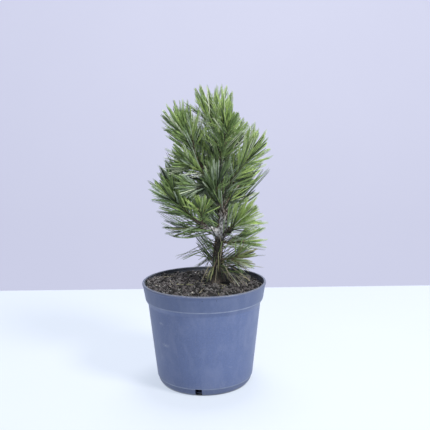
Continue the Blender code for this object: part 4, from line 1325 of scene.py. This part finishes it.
def build_shoots(masses):
    """Stems and twigs joined in one piece, and the buds at their ends in another."""
    along, girth = np.array(BUD_FORM).T
    wood = Batch()
    buds = Batch()

    def bark(turns, runs, width):
        return 0.45 * (leaf_scars(turns, runs, (2, 3), 4.5) - 0.5)

    def scales(turns, runs, width):
        return 0.16 * width * (leaf_scars(turns, runs, (3, 5), 2.4) - 0.5)

    for mass in masses:
        for points, radii in [(mass.points, mass.radii)] + mass.twigs:
            wood.add(*tube(*resample(points, radii * (OLD_STEM if mass.old else 1), 1.3), 12, bark))
            if mass.old:
                continue
            share = 1 if points is mass.points else TWIG_BUD
            core = points[-1] + unit(points[-1] - points[-2]) * (along * (BUD_LENGTH * share))[:, None]
            buds.add(*tube(core, girth * BUD_RADIUS * share, 12, scales))
    for name, batch, material in (("shoots", wood, twig_material()), ("buds", buds, bud_material())):
        piece = batch.build(name, material)
        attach(piece, "root")
    return bpy.data.objects["shoots"]


def add_longest(space, needles, skip, course, lengths, blend, draw, width):
    """A pair of the first of several lengths that its space allows on a course from the bare wood."""
    for length in lengths:
        if space.allows("wood", sample(*course, length)[skip:]):
            needles.add_pair(*course, length, tint_from(draw, blend), draw, width)
            return


def grow_on_limbs(limbs, space, needles):
    """Old needles that stand straight on the trunk's upper length and on the boughs."""
    draw = random.Random(f"{SEED} limbs")
    for name, limb in limbs.items():
        trunk = name == "trunk"
        keep = limb.points[:, 2] > (TRUNK_BASE + LIMB_NEEDLES_FROM if trunk else 0)
        fine, widths = resample(limb.points[keep], limb.radii[keep], 1.15 if trunk else 1.4)
        for number in range(0 if trunk else 5, len(fine) - 1):
            axis = unit(fine[number + 1] - fine[number])
            tilt = draw.uniform(*LIMB_TILTS)
            direction = tilted(axis, tilt, number * GOLDEN_ANGLE + draw.uniform(-14, 14))
            if trunk and fine[number, 2] < GRAFT_TOP and direction[1] < 0.05:
                continue
            root = fine[number] + off(axis, direction) * widths[number] * 0.8
            lengths = (draw.uniform(*LIMB_NEEDLE_LENGTHS), *LIMB_SHORTER)
            add_longest(space, needles, 2, (root, direction, axis), lengths, "blue", draw, NEEDLE_WIDTH)


def build_stubs(limbs):
    """Short scaly stubs that old needles left on the upper trunk and the boughs' roots."""
    draw = random.Random(f"{SEED} stubs")
    batches = [Batch(), Batch()]
    for name, limb in limbs.items():
        fine, widths = resample(limb.points, limb.radii, 0.3)
        for number in range(4, len(fine) - 4):
            graft = name == "trunk" and fine[number, 2] < GRAFT_TOP - GRAFT_STUBS_FROM
            if graft or name == PALE_ROOT and number < PALE_ROOT_POINTS:
                continue
            axis = unit(fine[number + 1] - fine[number])
            out = tilted(axis, draw.uniform(*STUB_TILTS), number * GOLDEN_ANGLE)
            root = fine[number] + off(axis, out) * widths[number] * 0.8
            length = draw.uniform(*STUB_LENGTHS)
            course = root + np.outer((0, 0.45, 0.8, 1), out + axis * 0.25) * length
            girth = np.array(STUB_RADII) * draw.uniform(0.8, 1.15)
            batches[draw.random() < PALE_STUBS].add(*tube(course, girth, 5))
    for batch, (name, colour) in zip(batches, STUB_TONES.items()):
        stubs = batch.build(name, crumb_material(f"{name}_bark", colour, 0.9))
        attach(stubs, "root")


def grow_on_foot(trunk, space, needles):
    """Old needles on the trunk below its graft, by the table of sprays."""
    draw = random.Random(f"{SEED} foot")
    for lowest, highest, heading, half, flattest, steepest, shortest, longest, count, blend in FOOT_SPRAYS:
        for number in range(count):
            turn = heading + half * draw.uniform(-1, 1)
            height = TRUNK_BASE + lerp(lowest, highest, (number + draw.random()) / count)
            direction = heading_vector(turn, draw.uniform(flattest, steepest))
            root = trunk.at_height(height) + heading_vector(turn, 0) * 6.5
            length = draw.uniform(shortest, longest)
            lengths = (length, *(share * length for share in FOOT_SHORTER))
            add_longest(space, needles, 3, (root, direction, direction), lengths, blend, draw, 1)


def hang_skirt(trunk, needles):
    """Old needles that hang down round the trunk's foot to the soil."""
    draw = random.Random(f"{SEED} skirt")
    for number in range(SKIRT_COUNT):
        height = TRUNK_BASE + draw.uniform(*SKIRT_ROOTS)
        heading = number * GOLDEN_ANGLE + draw.uniform(-10, 10)
        if math.sin(math.radians(heading)) < -0.35:
            continue
        root = trunk.at_height(height) + heading_vector(heading, 0) * 7
        steep = draw.uniform(*SKIRT_STEEP)
        direction = heading_vector(heading + draw.uniform(-12, 12), -steep)
        length = min(draw.uniform(40, 60), (height - SOIL_LEVEL - 2.5) / math.sin(math.radians(steep)))
        if length > 16:
            needles.add_pair(root, direction, direction, length, tint_from(draw, "old"), draw, SKIRT_WIDTH)


def lone_needles(needles):
    """Placed pairs: thin ones across the trunk's foot, others where the crown's own leave a place open."""
    for *ends, tint in LONE_NEEDLES:
        needles.add_placed(ends[:3], ends[3:], -0.06, 0.015, tint, 1.05)
    for table, gape, width in ((SAGGING_NEEDLES + LEANING_NEEDLES, 0.022, 1.7), (RIGHT_NEEDLES, 0.015, 2.3)):
        for *ends, sag, tint in table:
            needles.add_placed(ends[:3], ends[3:], sag, gape, tint, width)


def litter(needles):
    """Fallen needles lying on the soil."""
    draw = random.Random(f"{SEED} litter")
    for number in range(LITTER_COUNT):
        away = LITTER_REACH * math.sqrt(draw.random()) if number % 2 else draw.uniform(*LITTER_NEAR)
        turn = draw.uniform(0, 2 * math.pi)
        centre = np.array([away * math.cos(turn), away * math.sin(turn), 0]) + (0 if number % 2 else FOOT)
        heading = draw.uniform(0, 360)
        length = draw.uniform(*LITTER_LENGTHS)
        ends = [centre + heading_vector(heading, 0) * length * side for side in (-0.5, 0.5)]
        if max(np.hypot(*end[:2]) for end in ends) > LITTER_RIM:
            continue
        for end in ends:
            end[2] = float(soil_top(end[0], end[1])) + 1.3
        along = unit(ends[1] - ends[0])
        bend = unit(np.cross(along, UP)) * draw.uniform(-0.06, 0.06)
        needles.add("straw" if draw.random() < 0.75 else "olive", ends[0], along, bend, UP, length, 1.3)


def build_plant():
    """Trunk, boughs, shoots and needles."""
    bark = bark_material()
    rows = np.array(TRUNK_COURSE)
    trunk = Limb(rows[:, :3] + UP * TRUNK_BASE, rows[:, 3])
    build_trunk(bark)
    limbs = {"trunk": trunk} | {row[0]: build_bough(row, trunk, bark) for row in BOUGHS}
    masses = [Mass(row, limbs) for row in MASSES]
    space = Space(masses, limbs.values())
    needles = Needles()
    for mass in masses:
        grow_mass(mass, space, needles)
    grow_on_limbs(limbs, space, needles)
    build_stubs(limbs)
    grow_on_foot(trunk, space, needles)
    hang_skirt(trunk, needles)
    lone_needles(needles)
    grow_to_tips(masses, needles)
    litter(needles)
    needles.build()
    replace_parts(build_shoots(masses), *(mass.name for mass in masses))


# Studio

def stage_sheet(name, reach, near, far, dark, pale, glow, unlit=0):
    """A flat stage surface between two (y, z) edges, with a faint cloud in its colour and a glow.

    The glow keeps shadows light. It is even, but for a disc of the unlit radius under the pot: a painted
    contact shadow.
    """
    look = Look(name)
    # Glow strength fades to none within the unlit radius: painted contact shadow under the pot
    strength = look.span(look.away(look.place(), (0, 0, 0)), unlit * 0.95, unlit, 0, 1) if unlit else 1
    look.feed(look.shader["Emission Color"], glow)
    look.feed(look.shader["Emission Strength"], strength)
    material = look.coat(look.ramp(look.noise(3, 2), (0.2, dark), (0.8, pale)), 0.8)
    corners = np.array([(-reach, *near), (reach, *near), (reach, *far), (-reach, *far)])
    mesh_object(name, corners, [[(0, 1, 2, 3)]], material)


def build_studio():
    """Pale table whose far edge shows against a plain wall, soft lamps and sky."""
    stage_sheet("table", 4000, (-4000, 0), (TABLE_EDGE, 0), (0.2, 0.207, 0.22), (0.21, 0.217, 0.23),
                (0.535, 0.6, 0.7), 0.082)
    stage_sheet("wall", 5000, (1900, -2500), (1900, 4500), (0.15, 0.15, 0.16), (0.16, 0.16, 0.17),
                (0.475, 0.492, 0.655))
    scene = bpy.context.scene
    for name, where, size, energy, tone in LAMPS:
        data = bpy.data.lights.new(name, "AREA")
        data.shape = "DISK"
        data.size = size
        data.energy = energy
        data.color = tone
        lamp = bpy.data.objects.new(name, data)
        lamp.location = where
        lamp.rotation_euler = (Vector(LAMP_AIM) - Vector(where)).to_track_quat("-Z", "Y").to_euler()
        scene.collection.objects.link(lamp)
    world = bpy.data.worlds.new("sky")
    world.use_nodes = True
    background = world.node_tree.nodes["Background"]
    background.inputs["Color"].default_value = (*SKY_TONE, 1)
    background.inputs["Strength"].default_value = SKY_STRENGTH
    scene.world = world
    scene.view_settings.view_transform = "Standard"


def build_camera():
    """Camera at the photograph's place, turn and lens."""
    yaw, pitch, roll = (math.radians(value) for value in (CAMERA_YAW, CAMERA_PITCH, CAMERA_ROLL))
    aim = Matrix.Rotation(-yaw, 4, "Z") @ Matrix.Rotation(math.pi / 2 - pitch, 4, "X")
    data = bpy.data.cameras.new("camera")
    data.sensor_width = 36
    data.lens = 36 * FOCAL_PIXELS / FRAME_PIXELS
    data.clip_end = 50
    camera = bpy.data.objects.new("camera", data)
    camera.matrix_world = Matrix.Translation(CAMERA_PLACE) @ aim @ Matrix.Rotation(roll, 4, "Z")
    bpy.context.scene.collection.objects.link(camera)
    bpy.context.scene.camera = camera


build_pot()
build_soil()
build_crumbs()
build_plant()
build_studio()
build_camera()
